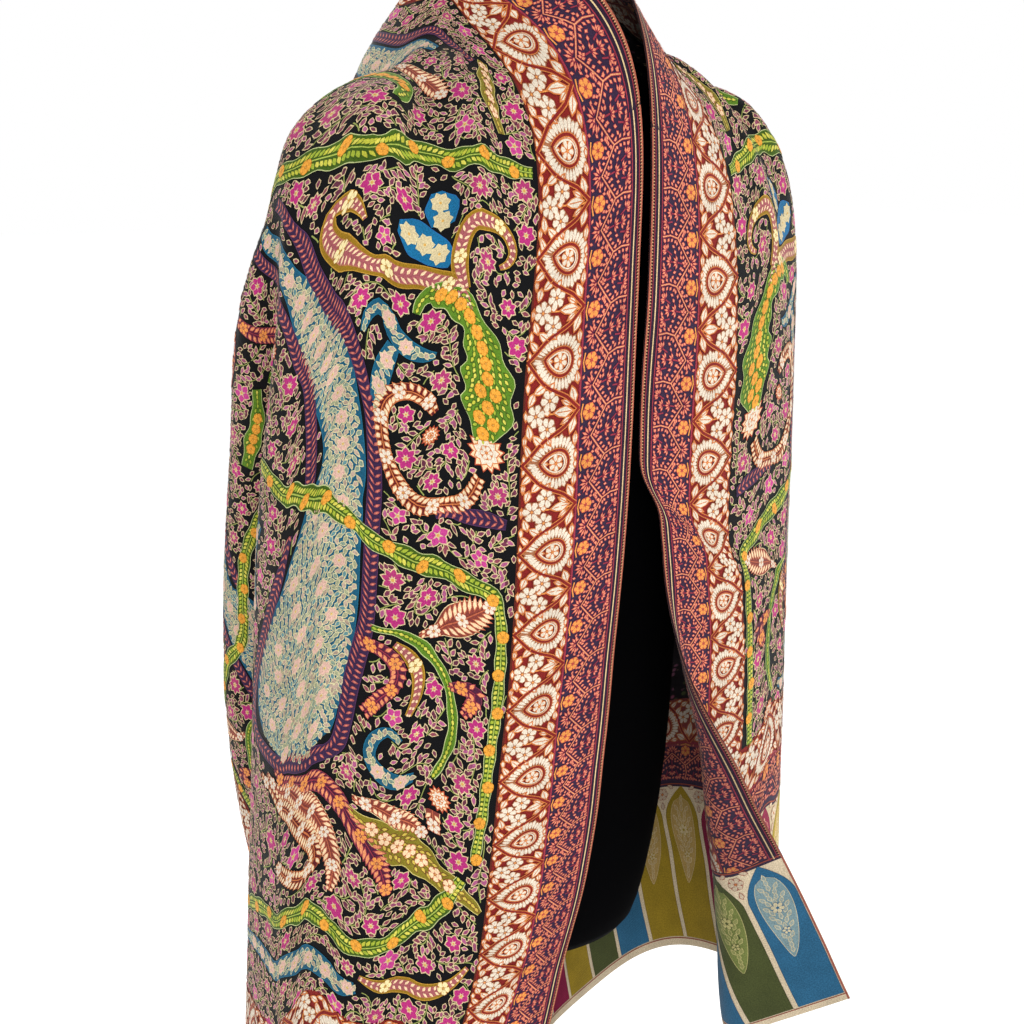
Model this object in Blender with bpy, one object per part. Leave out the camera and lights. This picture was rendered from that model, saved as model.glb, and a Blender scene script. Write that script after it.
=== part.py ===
"""Pashmina shawl hung round the shoulders of a limbless dress form on its stand.

Metres, +Z up.  The origin is the centre of the underside of the round base.  The form faces -Y, so its
own right shoulder is on the -X side.

The shawl is one rectangle.  A point of it is given by `along`, the distance from the nape towards one
short end, and `down`, the distance from the long edge that runs round the neck.  The cloth turns over
the shoulder ridge and then hangs, and every point follows one path of its own, measured by `drop`, the
length of cloth between the ridge and the point.  Rings of equal drop run from the front edge, round the
shoulder, to the middle of the back, and the cloth in excess of their length stands in flutes.
"""

import collections
import math

import bmesh
import bpy
import numpy as np

# ---- the shawl ----------------------------------------------------------------------------------
SHAWL_WIDTH = 0.72
RIGHT_LENGTH = 1.15
LEFT_LENGTH = 0.985
WALL = 0.0010
SEAM_GAP = 0.0004
BORDER_WIDTH = 0.094
END_BAND = 0.08
GATES = 0.15
# Grid spacing, finer across the flutes: near the neck and beyond it, and above and below the shoulder tip.
CELL_BEHIND = 0.021
CELL_SIDES = 0.024
CELL_ENDS = 0.037
CELL_FRONT = 0.033
CELL_FLUTES = 0.019

# ---- how it lies over the shoulder --------------------------------------------------------------
NECK_ALONG = 0.10
TIP_ALONG = 0.27
TIP_DOWN = 0.26
NAPE_BACK = 0.066
NAPE_HEIGHT = 1.515
NAPE_STAND = 0.045
# The standing part at the nape grows in over these labels before and after the side of the neck.
STAND_BEFORE = 0.15
STAND_AFTER = 0.45
STAND_BEND = 0.02
# The reach of the cloth outwards is taken at this drop and evened out over this span of labels.
REACH_DROP = 0.25
REACH_SPAN = 0.25
LEAST_REACH = 0.02
TURN_OVER = 0.875
LEAST_FALL = 0.02

# ---- form and stand -----------------------------------------------------------------------------
FORM_BOTTOM = 0.78
NECK_TOP = 1.575
NECK_CAP_RADIUS = 0.045
NECK_CAP_EDGE = 0.006
POLE_RADIUS = 0.0125
COLLAR_RADIUS = 0.024
COLLAR_HEIGHT = 0.045
COLLAR_EDGE = 0.005
BASE_RADIUS = 0.155
BASE_HEIGHT = 0.010
BASE_EDGE = 0.003
BEVEL_STEPS = 3
FORM_SIDES = 40
STAND_SIDES = 28
BASE_SIDES = 64

Table = collections.namedtuple("Table", ("columns", "rows"))

# The ridge of a shoulder: share of the way from neck to tip, distance from the middle, height.
RIDGE = Table(("share", "out", "height"), (
    (0.00, 0.058, 1.535),
    (0.20, 0.070, 1.474),
    (0.38, 0.092, 1.447),
    (0.70, 0.150, 1.426),
    (0.90, 0.184, 1.406),
    (1.00, 0.197, 1.390),
))

# How the front is crowded along the ridge: share of its cloth, share of the ridge.
CROWDING = Table(("cloth", "ridge"), (
    (0.00, 0.00),
    (0.36, 0.17),
    (0.62, 0.36),
    (1.00, 1.00),
))

# The line that the hanging cloth lies within: its half width and its depths to the front and the back.
HANG = Table(("drop", "half_width", "front", "back"), (
    (0.00, 0.222, 0.122, 0.135),
    (0.20, 0.221, 0.137, 0.175),
    (0.44, 0.220, 0.140, 0.243),
    (0.80, 0.223, 0.140, 0.256),
    (1.30, 0.228, 0.140, 0.266),
))
# How square the front half of that line is, how far it runs on past mid front, and its number of points.
FRONT_SQUARENESS = 2.25
PAST_MID_FRONT = 0.45
OUTLINE_POINTS = 420

# The front edges, as distances to the left of the middle.
EDGES = Table(("drop", "right_edge", "left_edge"), (
    (0.00, 0.025, 0.020),
    (0.12, 0.018, 0.012),
    (0.31, -0.010, -0.003),
    (0.42, -0.016, -0.009),
    (0.47, -0.019, 0.010),
    (0.57, -0.029, 0.016),
    (0.64, -0.036, 0.006),
    (0.72, -0.048, -0.012),
    (0.80, -0.070, -0.036),
    (1.03, -0.110, -0.070),
    (1.30, -0.130, -0.080),
))

# Flutes: how many have been passed at the side of the shoulder, square behind it and at mid back.
FLUTES_AT_SIDE = 0.25
FLUTES_BEHIND = 2.25
FLUTES_AT_BACK = 3.75
BACK_FLUTE_SHARE = 0.72
STEEPEST_FLUTE = 1.38
# Labels between which the flutes grow in, fade towards mid back, and take their place from the back.
FLUTES_GROW = (1.02, 1.22)
FLUTES_FADE = (2.0, 2.8)
FLUTES_FROM_BACK = (1.5, 2.0)
FLUTES_LIFT = (1.0, 1.15)
FLUTE_SPAN = 0.17

# Soft folds that run down from the neck, by label.
NECK_FOLDS_FROM = (0.30, 0.45)
NECK_FOLDS_TO = (0.80, 1.0)
NECK_FOLD_DEPTH = 0.007
NECK_FOLD_SPACING = 0.27
NECK_FOLD_DROP = 0.20
NECK_FOLD_START = 0.05

# The turned-back lapel of the left front.
LAPEL_START = 0.59
LAPEL_ANGLE = math.radians(18)
LAPEL_RADIUS = 0.020
LAPEL_TURN_TOP = math.radians(150)
LAPEL_TURN_BOTTOM = math.radians(115)
LAPEL_PROBE = 0.004

# ---- working tables -----------------------------------------------------------------------------
DROP_STEP = 0.006
DROP_MOST = 1.30
LABEL_STEP = 0.004
HALVINGS = 24


def smooth_step(value, low, high):
    share = np.clip((np.asarray(value, float) - low) / (high - low), 0, 1)
    return share * share * (3 - 2 * share)


def smooth_table(table, position, column):
    """A column of a table at any position, on a curve with no overshoot between the rows."""
    rows = np.array(table.rows)
    known, values = rows[:, 0], rows[:, table.columns.index(column)]
    secants = np.diff(values) / np.diff(known)
    product = secants[:-1] * secants[1:]
    total = np.where(product > 0, secants[:-1] + secants[1:], 1)
    turning = np.where(product > 0, 2 * product / total, 0)
    slopes = np.concatenate([secants[:1], turning, secants[-1:]])
    position = np.clip(position, known[0], known[-1])
    index = np.clip(np.searchsorted(known, position) - 1, 0, len(known) - 2)
    span = known[index + 1] - known[index]
    share = (position - known[index]) / span
    start = values[index] + share * span * slopes[index]
    end = values[index + 1] - (1 - share) * span * slopes[index + 1]
    blend = share * share * (3 - 2 * share)
    return start * (1 - blend) + end * blend


def blurred(values, half_steps):
    """Mean over a window along the second axis, with the ends mirrored."""
    padded = np.pad(values, ((0, 0), (half_steps, half_steps)), mode="reflect")
    total = np.cumsum(np.pad(padded, ((0, 0), (1, 0))), axis=1)
    window = 2 * half_steps + 1
    return (total[:, window:] - total[:, :-window]) / window


class Drape:
    """One side of the shawl, as a table of places by drop and by label round the ring.

    The label is 0 at the front edge, 1 in front of the shoulder tip, 2 behind it and 3 at mid back.
    """

    def __init__(self, side, edge_column):
        self.side = side
        self.drops = np.arange(0, DROP_MOST + DROP_STEP, DROP_STEP)
        self.labels = np.arange(0, 3 + LABEL_STEP / 2, LABEL_STEP)
        ring_x, ring_y = self.rings(edge_column)
        base = self.ridge_line()
        reach = np.hypot(ring_x - base[:, 0], ring_y - base[:, 1])
        reach = blurred(reach[[np.searchsorted(self.drops, REACH_DROP)]], int(REACH_SPAN / LABEL_STEP))[0]
        scale = np.maximum(reach, LEAST_REACH) / TURN_OVER
        stand = NAPE_STAND * smooth_step(self.labels, NECK_LABEL - STAND_BEFORE, NECK_LABEL + STAND_AFTER)
        past = self.drops[:, None] - stand
        past = (past + np.hypot(past, STAND_BEND)) / 2 - (np.hypot(stand, STAND_BEND) - stand) / 2
        eased = np.vectorize(math.erf)(past / scale[None, :])
        x = base[:, 0] + (ring_x - base[:, 0]) * eased
        y = base[:, 1] + (ring_y - base[:, 1]) * eased
        x, y = self.near_neck_folds(x, y)
        travel = np.hypot(np.diff(x, axis=0), np.diff(y, axis=0))
        fall = np.sqrt(np.maximum(DROP_STEP**2 - travel**2, (LEAST_FALL * DROP_STEP) ** 2))
        z = base[:, 2] - np.vstack([np.zeros(len(self.labels)), np.cumsum(fall, axis=0)])
        self.table = np.stack([side * x, y, z], axis=2)

    def ridge_line(self):
        """Where each label crosses the ridge or, behind the neck, the loose upper edge."""
        labels = self.labels
        back_share = np.clip((NECK_LABEL - labels) / (NECK_LABEL - 2), 0, 1)
        share = smooth_table(CROWDING, np.where(labels > 2, back_share, np.minimum(labels, 1)), "ridge")
        height = smooth_table(RIDGE, share, "height")
        turn = np.clip((labels - NECK_LABEL) / (3 - NECK_LABEL), 0, 1) * math.pi / 2
        out = smooth_table(RIDGE, share, "out") * np.cos(turn)
        back = NAPE_BACK * np.sin(turn)
        height = height + (NAPE_HEIGHT - height) * np.sin(turn) ** 2
        return np.stack([out, back, height], axis=1)

    def rings(self, edge_column):
        """The plan of each ring, with its flutes."""
        drops, labels = self.drops[:, None], self.labels[None, :]
        middle = labels[:, 1:] - LABEL_STEP / 2
        per_label = np.where(middle < 1, TIP_DOWN, np.where(middle < 2, drops * math.pi / 2, TIP_ALONG))
        cloth = per_label * LABEL_STEP
        counts = (FLUTES_AT_SIDE, FLUTES_AT_SIDE, FLUTES_BEHIND, FLUTES_AT_BACK)
        passed = np.interp(middle, (0, 1, 2, 3), counts)
        wave = np.cos(2 * math.pi * passed)
        fading = (1 - BACK_FLUTE_SHARE) * smooth_step(middle, *FLUTES_FADE)
        fullness = smooth_step(middle, *FLUTES_GROW) * (1 - fading)
        edge = self.side * smooth_table(EDGES, self.drops, edge_column)
        outlines = [self.outline(drop) for drop in self.drops]
        lengths = np.array([outline[0][-1] for outline in outlines])
        low = np.zeros(len(self.drops))
        high = np.full(len(self.drops), STEEPEST_FLUTE)
        for _ in range(HALVINGS):
            tried = (low + high) / 2
            covered = edge + (np.cos(tried[:, None] * fullness * wave) * cloth).sum(axis=1)
            low = np.where(covered > lengths, tried, low)
            high = np.where(covered > lengths, high, tried)
        closing = SHAWL_WIDTH - TIP_DOWN
        tilt = np.where(self.drops > closing, np.interp(closing, self.drops, low), low)
        slope = tilt[:, None] * fullness * wave
        start = np.zeros((len(self.drops), 1))
        fluted = (np.cos(slope) * cloth * fullness).sum(axis=1)
        excess = edge + (np.cos(slope) * cloth).sum(axis=1) - lengths
        crush = np.where(fluted > 0, excess / np.maximum(fluted, 0.01), 0)
        crush = np.where(self.drops > closing, np.interp(closing, self.drops, crush), crush)
        paced = np.cos(slope) * cloth * (1 - crush[:, None] * fullness)
        from_edge = np.hstack([start, np.cumsum(paced, axis=1)])
        from_back = lengths[:, None] - (from_edge[:, -1:] - from_edge)
        run = edge[:, None] + from_edge
        run = run + (from_back - run) * smooth_step(labels, *FLUTES_FROM_BACK)
        lift = np.hstack([start, np.cumsum(np.sin(slope) * cloth, axis=1)])
        half_window = int(FLUTE_SPAN / LABEL_STEP)
        lift = lift - blurred(blurred(lift, half_window), half_window // 2)
        depth = np.sqrt(2 * blurred(blurred(lift**2, half_window), half_window // 2))
        lift = (lift - depth) * smooth_step(labels, *FLUTES_LIFT)
        x, y = np.empty_like(run), np.empty_like(run)
        for row, (path, path_x, path_y, out_x, out_y) in enumerate(outlines):
            at = np.clip(run[row], path[0], path[-1])
            x[row] = np.interp(at, path, path_x) + lift[row] * np.interp(at, path, out_x)
            y[row] = np.interp(at, path, path_y) + lift[row] * np.interp(at, path, out_y)
        return x, y

    def outline(self, drop):
        """Half of the line that the cloth hangs within, from mid front to mid back, by its length."""
        half_width = float(smooth_table(HANG, drop, "half_width"))
        front = float(smooth_table(HANG, drop, "front"))
        back = float(smooth_table(HANG, drop, "back"))
        angle = np.linspace(-PAST_MID_FRONT, math.pi, OUTLINE_POINTS)
        power = np.where(np.cos(angle) > 0, 2 / FRONT_SQUARENESS, 1.0)
        sine, cosine = np.sin(angle), np.cos(angle)
        depth = np.where(cosine > 0, front, back)
        x = half_width * np.sign(sine) * np.abs(sine) ** power
        y = -depth * np.sign(cosine) * np.abs(cosine) ** power
        step = np.hypot(np.diff(x), np.diff(y))
        path = np.concatenate([[0], np.cumsum(step)])
        path = path - np.interp(0, angle, path)
        along_x, along_y = np.gradient(x, path), np.gradient(y, path)
        size = np.hypot(along_x, along_y)
        return path, x, y, along_y / size, -along_x / size

    def near_neck_folds(self, x, y):
        """Soft folds that run down from the neck, where the cloth is crowded on the ridge."""
        drops, labels = self.drops[:, None], self.labels[None, :]
        crowd = smooth_step(labels, *NECK_FOLDS_FROM) * (1 - smooth_step(labels, *NECK_FOLDS_TO))
        fade = np.exp(-((drops / NECK_FOLD_DROP) ** 2)) * smooth_step(drops, 0.0, NECK_FOLD_START)
        depth = NECK_FOLD_DEPTH * fade * crowd
        wave = np.cos(2 * math.pi * labels / NECK_FOLD_SPACING)
        return x, y - depth * (1 + wave) / 2

    def at(self, along, down):
        """The place of each point of the cloth."""
        drop, label = self.ring_place(np.asarray(along, float), np.asarray(down, float))
        return self.look_up(drop, label)

    def ring_place(self, along, down):
        shift = (TIP_ALONG - NECK_ALONG) * np.clip(down / TIP_DOWN, 0, 1)
        ridge_along = NECK_ALONG + shift
        ridge_down = TIP_DOWN * np.clip((along - NECK_ALONG) / (TIP_ALONG - NECK_ALONG), 0, 1)
        in_front = (down < TIP_DOWN) & (along >= ridge_along)
        behind = (along < TIP_ALONG) & ~in_front
        past_along, past_down = along - TIP_ALONG, down - TIP_DOWN
        turn = np.arctan2(past_down, np.maximum(past_along, 0)) / (math.pi / 2)
        drop = np.where(in_front, along - ridge_along, np.hypot(past_along, past_down))
        drop = np.where(behind, down - ridge_down, drop)
        label = np.where(in_front, down / TIP_DOWN, 1 + np.clip(turn, 0, 1))
        label = np.where(behind, 2 + (TIP_ALONG - along) / TIP_ALONG, label)
        return drop, label

    def look_up(self, drop, label):
        """Cubic reading of the table."""
        rows = np.clip(drop / DROP_STEP, 0, len(self.drops) - 1.001)
        columns = np.clip(label / LABEL_STEP, 0, len(self.labels) - 1.001)
        row, column = rows.astype(int), columns.astype(int)
        row_weights, column_weights = cubic_weights(rows - row), cubic_weights(columns - column)
        place = np.zeros(np.shape(drop) + (3,))
        for i in range(4):
            at_row = np.clip(row + i - 1, 0, len(self.drops) - 1)
            for j in range(4):
                at_column = np.clip(column + j - 1, 0, len(self.labels) - 1)
                weight = row_weights[i] * column_weights[j]
                place += weight[..., None] * self.table[at_row, at_column]
        return place


def cubic_weights(share):
    return (
        -0.5 * share + share**2 - 0.5 * share**3,
        1 - 2.5 * share**2 + 1.5 * share**3,
        0.5 * share + 2 * share**2 - 1.5 * share**3,
        -0.5 * share**2 + 0.5 * share**3,
    )


NECK_LABEL = 3 - NECK_ALONG / TIP_ALONG
RIGHT = Drape(-1, "right_edge")
LEFT = Drape(1, "left_edge")


def with_lapel(along, down):
    """The left side, whose front corner rolls outwards about a slanting line."""
    sine, cosine = math.sin(LAPEL_ANGLE), math.cos(LAPEL_ANGLE)
    from_start = along - LAPEL_START
    fold_length = from_start * cosine + down * sine
    past = from_start * sine - down * cosine
    rolled = (past > 0) & (from_start > 0)
    fold_along = np.where(rolled, LAPEL_START + fold_length * cosine, along)
    fold_down = np.where(rolled, fold_length * sine, down)
    place = LEFT.at(fold_along, fold_down)
    step_sine, step_cosine = LAPEL_PROBE * sine, LAPEL_PROBE * cosine
    across = LEFT.at(fold_along + step_sine, fold_down - step_cosine) - place
    lengthwise = LEFT.at(fold_along + step_cosine, fold_down + step_sine) - place
    across /= np.linalg.norm(across, axis=-1, keepdims=True)
    outwards = np.cross(lengthwise, across)
    outwards /= np.maximum(np.linalg.norm(outwards, axis=-1, keepdims=True), 1e-9)
    outwards *= np.where(outwards[..., 1:2] > 0, -1, 1)
    whole = (LEFT_LENGTH - LAPEL_START) / cosine
    turn = LAPEL_TURN_TOP + (LAPEL_TURN_BOTTOM - LAPEL_TURN_TOP) * np.clip(fold_length / whole, 0, 1)
    past = np.where(rolled, past, 0)
    bent = np.minimum(past / LAPEL_RADIUS, turn)
    straight = past - bent * LAPEL_RADIUS
    towards = LAPEL_RADIUS * np.sin(bent) + straight * np.cos(turn)
    away = LAPEL_RADIUS * (1 - np.cos(bent)) + straight * np.sin(turn)
    return place + towards[..., None] * across + away[..., None] * outwards


def cloth_at(across_neck, down):
    """The middle of the wall.  `across_neck` is below 0 on the right side and above 0 on the left."""
    across_neck = np.asarray(across_neck, float)
    down = np.asarray(down, float)
    right = RIGHT.at(np.maximum(-across_neck, 0), down)
    left = with_lapel(np.maximum(across_neck, 0), down)
    return np.where((across_neck < 0)[..., None], right, left)


def grid_lines(low, high, fixed, spacing):
    """Grid lines from low to high through the fixed places, with a spacing that depends on place."""
    stops = [low] + [stop for stop in fixed if low < stop < high] + [high]
    lines = [low]
    for start, end in zip(stops, stops[1:]):
        count = max(1, round((end - start) / spacing((start + end) / 2)))
        lines += [start + (end - start) * (index + 1) / count for index in range(count)]
    return np.array(lines)


def spacing_along(place):
    if NECK_RIGHT < place < NECK_LEFT:
        return CELL_BEHIND
    return CELL_SIDES if abs(place) < SIDE_ALONG else CELL_ENDS


def spacing_down(place):
    return CELL_FRONT if place < TIP_DOWN else CELL_FLUTES


def material(name, colour, roughness, metallic=0.0):
    made = bpy.data.materials.new(name)
    made.use_nodes = True
    shader = made.node_tree.nodes["Principled BSDF"]
    shader.inputs["Base Color"].default_value = (*colour, 1)
    shader.inputs["Roughness"].default_value = roughness
    shader.inputs["Metallic"].default_value = metallic
    made.diffuse_color = (*colour, 1)
    return made


def add_object(name, points, faces, finish):
    mesh = bpy.data.meshes.new(name)
    mesh.from_pydata([tuple(point) for point in points], [], faces)
    mesh.materials.append(finish)
    work = bmesh.new()
    work.from_mesh(mesh)
    bmesh.ops.recalc_face_normals(work, faces=work.faces)
    bmesh.ops.triangulate(work, faces=work.faces)
    work.to_mesh(mesh)
    work.free()
    made = bpy.data.objects.new(name, mesh)
    bpy.context.scene.collection.objects.link(made)
    return made


# Where the pieces of the shawl meet.
RIGHT_BAND = -(RIGHT_LENGTH - GATES - END_BAND)
RIGHT_GATES = -(RIGHT_LENGTH - GATES)
LEFT_BAND = LEFT_LENGTH - GATES - END_BAND
LEFT_GATES = LEFT_LENGTH - GATES
NECK_RIGHT = -0.30
NECK_LEFT = 0.30
SIDE_DOWN = 0.36
HEM_DOWN = SHAWL_WIDTH - BORDER_WIDTH
SIDE_ALONG = 0.62
RIGHT_STOPS = (RIGHT_GATES, RIGHT_BAND, -SIDE_ALONG, NECK_RIGHT)
LEFT_STOPS = (NECK_LEFT, SIDE_ALONG, LEFT_BAND, LEFT_GATES)
ACROSS_STOPS = RIGHT_STOPS + (0.0,) + LEFT_STOPS
DOWN_STOPS = (BORDER_WIDTH, TIP_DOWN, SIDE_DOWN, HEM_DOWN)

PANELS = Table(("name", "from_across", "to_across", "from_down", "to_down", "finish"), (
    ("neck_border_right", RIGHT_BAND, NECK_RIGHT, 0.0, BORDER_WIDTH, "border"),
    ("neck_border_nape", NECK_RIGHT, NECK_LEFT, 0.0, BORDER_WIDTH, "border"),
    ("neck_border_left", NECK_LEFT, LEFT_BAND, 0.0, BORDER_WIDTH, "border"),
    ("field_right_front", RIGHT_BAND, NECK_RIGHT, BORDER_WIDTH, SIDE_DOWN, "field"),
    ("field_right_side", RIGHT_BAND, NECK_RIGHT, SIDE_DOWN, HEM_DOWN, "field"),
    ("field_shoulders", NECK_RIGHT, NECK_LEFT, BORDER_WIDTH, SIDE_DOWN, "field"),
    ("field_back", NECK_RIGHT, NECK_LEFT, SIDE_DOWN, HEM_DOWN, "field"),
    ("field_left_front", NECK_LEFT, LEFT_BAND, BORDER_WIDTH, SIDE_DOWN, "field"),
    ("field_left_side", NECK_LEFT, LEFT_BAND, SIDE_DOWN, HEM_DOWN, "field"),
    ("hem_border_right", RIGHT_BAND, NECK_RIGHT, HEM_DOWN, SHAWL_WIDTH, "border"),
    ("hem_border_back", NECK_RIGHT, NECK_LEFT, HEM_DOWN, SHAWL_WIDTH, "border"),
    ("hem_border_left", NECK_LEFT, LEFT_BAND, HEM_DOWN, SHAWL_WIDTH, "border"),
    ("end_band_right_front", RIGHT_GATES, RIGHT_BAND, 0.0, SIDE_DOWN, "band"),
    ("end_band_right_side", RIGHT_GATES, RIGHT_BAND, SIDE_DOWN, SHAWL_WIDTH, "band"),
    ("end_band_left_front", LEFT_BAND, LEFT_GATES, 0.0, SIDE_DOWN, "band"),
    ("end_band_left_side", LEFT_BAND, LEFT_GATES, SIDE_DOWN, SHAWL_WIDTH, "band"),
    ("gates_right_front", -RIGHT_LENGTH, RIGHT_GATES, 0.0, SIDE_DOWN, "gates"),
    ("gates_right_side", -RIGHT_LENGTH, RIGHT_GATES, SIDE_DOWN, SHAWL_WIDTH, "gates"),
    ("gates_left_front", LEFT_GATES, LEFT_LENGTH, 0.0, SIDE_DOWN, "gates"),
    ("gates_left_side", LEFT_GATES, LEFT_LENGTH, SIDE_DOWN, SHAWL_WIDTH, "gates"),
))


class ShawlGrid:
    """The middle of the whole shawl's wall on one grid, with the normals that all its pieces share."""

    def __init__(self):
        self.along = grid_lines(-RIGHT_LENGTH, LEFT_LENGTH, ACROSS_STOPS, spacing_along)
        self.down = grid_lines(0.0, SHAWL_WIDTH, DOWN_STOPS, spacing_down)
        across, deep = np.meshgrid(self.along, self.down, indexing="ij")
        self.places = cloth_at(across, deep)
        diagonals = self.places[1:, 1:] - self.places[:-1, :-1], self.places[1:, :-1] - self.places[:-1, 1:]
        cells = np.cross(*diagonals)
        cells /= np.maximum(np.linalg.norm(cells, axis=-1, keepdims=True), 1e-12)
        normals = np.zeros_like(self.places)
        for rows in (slice(0, -1), slice(1, None)):
            for columns in (slice(0, -1), slice(1, None)):
                normals[rows, columns] += cells
        normals /= np.linalg.norm(normals, axis=-1, keepdims=True)
        outwards = np.sign(normals[1, 1] @ np.array([0.0, -1.0, 0.0]))
        self.normals = normals * outwards

    def stretch(self, span, drop_span):
        """Places and normals of one piece, with its seams drawn back by half the gap."""
        first, last = (int(np.argmin(abs(self.along - end))) for end in span)
        top, foot = (int(np.argmin(abs(self.down - end))) for end in drop_span)
        places = self.places[first : last + 1, top : foot + 1].copy()
        normals = self.normals[first : last + 1, top : foot + 1]
        if first > 0:
            draw_back(places[0], places[1])
        if last < len(self.along) - 1:
            draw_back(places[-1], places[-2])
        if top > 0:
            draw_back(places[:, 0], places[:, 1])
        if foot < len(self.down) - 1:
            draw_back(places[:, -1], places[:, -2])
        return places, normals


def draw_back(edge, neighbour):
    """Moves a row of points half a seam gap square to the seam, towards the next row."""
    seam = np.gradient(edge, axis=0)
    seam /= np.linalg.norm(seam, axis=-1, keepdims=True)
    way = neighbour - edge
    way -= (way * seam).sum(axis=-1, keepdims=True) * seam
    edge += way * (SEAM_GAP / 2 / np.linalg.norm(way, axis=-1, keepdims=True))


def cloth_panel(name, shawl, span, drop_span, finish):
    """One stretch of the shawl as a wall between its outer and inner faces."""
    places, normals = shawl.stretch(span, drop_span)
    outer = (places + normals * WALL / 2).reshape(-1, 3)
    inner = (places - normals * WALL / 2).reshape(-1, 3)
    rows, columns = places.shape[:2]
    points = np.concatenate([outer, inner])
    shift = rows * columns
    faces = []
    for i in range(rows - 1):
        for j in range(columns - 1):
            a, b = i * columns + j, (i + 1) * columns + j
            for corners in ((a, b, b + 1), (a, b + 1, a + 1)):
                faces.append(corners)
                faces.append(tuple(corner + shift for corner in reversed(corners)))
    rim = list(range(columns))
    rim += [i * columns + columns - 1 for i in range(1, rows)]
    rim += [(rows - 1) * columns + j for j in range(columns - 2, -1, -1)]
    rim += [i * columns for i in range(rows - 2, 0, -1)]
    for start, end in zip(rim, rim[1:] + rim[:1]):
        faces.append((start, end, end + shift))
        faces.append((start, end + shift, start + shift))
    return add_object(name, points, faces, finish)


# The torso, from its bottom to the neck: height, half width, depth to the front and to the back, and the
# radius of the neck, which runs down into the shoulders.
TORSO = Table(("height", "half_width", "front", "back", "neck"), (
    (0.780, 0.078, 0.062, 0.066, 0.000),
    (0.790, 0.088, 0.072, 0.076, 0.000),
    (0.820, 0.098, 0.080, 0.084, 0.000),
    (0.880, 0.112, 0.087, 0.092, 0.000),
    (0.950, 0.121, 0.090, 0.094, 0.000),
    (1.030, 0.124, 0.092, 0.094, 0.000),
    (1.100, 0.130, 0.100, 0.098, 0.000),
    (1.170, 0.140, 0.113, 0.102, 0.000),
    (1.230, 0.147, 0.118, 0.102, 0.000),
    (1.290, 0.153, 0.106, 0.092, 0.060),
    (1.330, 0.160, 0.090, 0.074, 0.062),
    (1.360, 0.168, 0.072, 0.050, 0.062),
    (1.380, 0.172, 0.056, 0.032, 0.060),
    (1.3970, 0.168, 0.044, 0.024, 0.057),
    (1.4107, 0.148, 0.040, 0.022, 0.054),
    (1.4228, 0.117, 0.038, 0.024, 0.051),
    (1.4362, 0.084, 0.038, 0.030, 0.048),
    (1.455, 0.058, 0.040, 0.036, 0.047),
    (1.480, 0.046, 0.040, 0.040, 0.045),
    (1.560, 0.044, 0.040, 0.040, 0.043),
))


def torso_radius(angle, half_width, front, back, neck):
    depth = front if math.sin(angle) < 0 else back
    across = 1 / math.hypot(math.cos(angle) / half_width, math.sin(angle) / depth)
    return max(across, neck)


def form_torso(finish):
    angles = [2 * math.pi * index / FORM_SIDES for index in range(FORM_SIDES)]
    points, faces = [], []
    for height, half_width, front, back, neck in TORSO.rows:
        for angle in angles:
            radius = torso_radius(angle, half_width, front, back, neck)
            points.append((radius * math.cos(angle), radius * math.sin(angle), height))
    for ring in range(len(TORSO.rows) - 1):
        for index in range(FORM_SIDES):
            a = ring * FORM_SIDES + index
            b = ring * FORM_SIDES + (index + 1) % FORM_SIDES
            faces.append((a, b, b + FORM_SIDES, a + FORM_SIDES))
    top = (len(TORSO.rows) - 1) * FORM_SIDES
    faces.append(tuple(range(FORM_SIDES))[::-1])
    faces.append(tuple(range(top, top + FORM_SIDES)))
    return add_object("form_torso", points, faces, finish)


def turned(name, profile, sides, finish):
    """A solid turned about the upright axis from (radius, height) pairs, closed flat at both ends."""
    points, faces = [], []
    for radius, height in profile:
        for index in range(sides):
            angle = 2 * math.pi * index / sides
            points.append((radius * math.cos(angle), radius * math.sin(angle), height))
    for ring in range(len(profile) - 1):
        for index in range(sides):
            a, b = ring * sides + index, ring * sides + (index + 1) % sides
            faces.append((a, b, b + sides, a + sides))
    top = (len(profile) - 1) * sides
    faces.append(tuple(range(sides))[::-1])
    faces.append(tuple(range(top, top + sides)))
    return add_object(name, points, faces, finish)


def rounded_edge(radius, low, high, bevel):
    """Profile of a disc with its upper edge rounded."""
    profile = [(radius, low)]
    for index in range(BEVEL_STEPS + 1):
        angle = math.pi / 2 * index / BEVEL_STEPS
        profile.append((radius - bevel + bevel * math.cos(angle), high - bevel + bevel * math.sin(angle)))
    return profile


def stand(metal, cap_finish):
    neck_top = TORSO.rows[-1][0] + SEAM_GAP
    cap = rounded_edge(NECK_CAP_RADIUS, neck_top, NECK_TOP, NECK_CAP_EDGE)
    turned("neck_cap", cap, FORM_SIDES, cap_finish)
    pole_top = FORM_BOTTOM - SEAM_GAP
    collar_low = pole_top - COLLAR_HEIGHT
    collar = [
        (COLLAR_RADIUS - COLLAR_EDGE, collar_low),
        (COLLAR_RADIUS, collar_low + COLLAR_EDGE),
        (COLLAR_RADIUS, pole_top),
    ]
    turned("stand_collar", collar, STAND_SIDES, metal)
    pole = [(POLE_RADIUS, BASE_HEIGHT + SEAM_GAP), (POLE_RADIUS, collar_low - SEAM_GAP)]
    turned("stand_pole", pole, STAND_SIDES, metal)
    turned("stand_base", rounded_edge(BASE_RADIUS, 0.0, BASE_HEIGHT, BASE_EDGE), BASE_SIDES, metal)


def clear_scene():
    for old in list(bpy.data.objects):
        bpy.data.objects.remove(old, do_unlink=True)


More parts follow.
